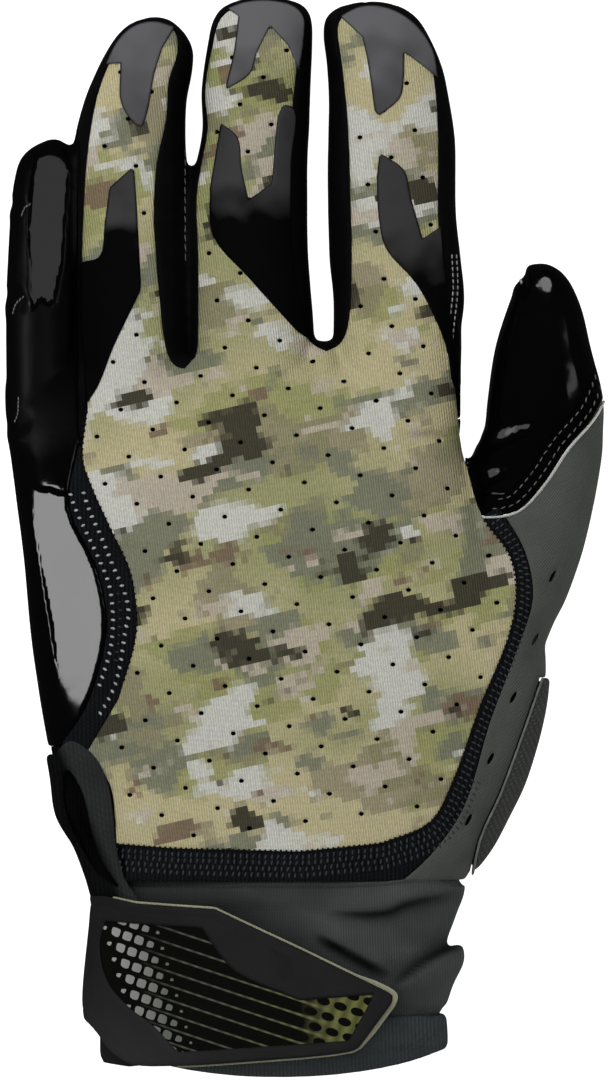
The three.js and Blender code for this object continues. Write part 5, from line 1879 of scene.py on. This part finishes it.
def soft_panel(name, place, aim, size, watts, in_gloss=True, in_cloth=True, shape="RECTANGLE"):
    light = bpy.data.lights.new(name, "AREA")
    light.shape = shape
    light.size, light.size_y = size
    light.energy = watts
    lamp = bpy.data.objects.new(name, light)
    scene.collection.objects.link(lamp)
    lamp.location = place
    lamp.rotation_euler = (Vector(aim) - Vector(place)).to_track_quat("-Z", "Y").to_euler()
    lamp.visible_glossy = in_gloss
    lamp.visible_diffuse = in_cloth
    return lamp


soft_panel("overhead_panel", (-0.1, 0.15, 1.3), (0, 0, 0), (1.6, 2.0), 23, in_gloss=False)
soft_panel("key_panel", (-0.5, 0.8, 0.8), (0, 0, 0), (0.4, 0.4), 5, in_gloss=False)
print("soft panels", len(bpy.data.lights))

# %% [markdown]
# The gloss shows an even grey on its flat places and a few bright glints on the thumb.
# Each is the mirror image of a small lamp. A lamp hangs where a ray from above would
# leave the surface, and light linking lets it reach its own piece only.

# %% Small lamps for the gloss
card_reach = 0.6


def only_on(lamp, *pieces):
    """Let a lamp reach a few pieces only."""
    group = bpy.data.collections.new(lamp.name + "_reach")
    for piece in pieces:
        group.objects.link(piece)
    lamp.light_linking.receiver_collection = group


def mirror_card(name, mark, normal, size, glow, shape, *pieces):
    """A small lamp hung where the camera sees it mirrored in one place of the gloss."""
    mirrored = normal * (2 * normal.z) - Vector((0, 0, 1))
    area = size[0] * size[1] * (math.pi / 4 if shape == "ELLIPSE" else 1)
    card = soft_panel(name, mark * mm + mirrored * card_reach, mark * mm, size,
                      glow * math.pi * area, in_cloth=False, shape=shape)
    only_on(card, *pieces)


for name, size, glow in (("little_finger", 0.18, 0.55), ("outer_edge", 0.13, 4.5)):
    facet = facets[name]
    mirror_card(name + "_card", facet["mark"], facet["normal"], (size, size), glow, "RECTANGLE",
                little_wrap)
thumb_glints = {
    "thumb_tip_glint": (thumb_at(0.955, 0.02), (0.3, 0.4), 2.6),
    "thumb_side_glint": (thumb_at(0.683, 0.45), (0.05, 0.34), 0.8),
    "upper_crease_glint": (thumb_at(0.556, -0.55), (0.5, 0.2), 1.0),
    "lower_crease_glint": (thumb_at(0.442, -0.84), (0.6, 0.3), 0.9),
}
for name, (place, size, glow) in thumb_glints.items():
    mirror_card(name, *look_down(hand_tree, *place), size, glow, "ELLIPSE", thumb_stall)
knit_back.visible_glossy = False
print("lamps", len(bpy.data.lights))

# %% [markdown]
# The photograph looks straight at the back of the hand, so the camera hangs over the
# glove and looks down. It is far away with a long lens, as the flat look of the picture
# asks. The named pixels say where the wrist and the palm lie in the picture.

# %% Camera
photo_scale = 0.21 * mm
photo_size = (609, 1080)
photo_wrist_row = 880
photo_palm_column = 236
view_x = hand_x * mm + (photo_size[0] / 2 - photo_palm_column) * photo_scale
view_y = hand_y * mm + (photo_wrist_row - photo_size[1] / 2) * photo_scale
lens = 500
sensor = 36
view_depth = 0.012
distance = photo_size[1] * photo_scale * lens / sensor
camera_data = bpy.data.cameras.new("overhead_camera")
camera_data.lens = lens
camera_data.sensor_fit = "VERTICAL"
camera_data.sensor_height = sensor
camera = bpy.data.objects.new("overhead_camera", camera_data)
camera.location = (view_x, view_y, view_depth + distance)
scene.collection.objects.link(camera)
scene.camera = camera
scene.view_settings.view_transform = "Standard"
print("camera", tuple(round(v, 4) for v in camera.location))
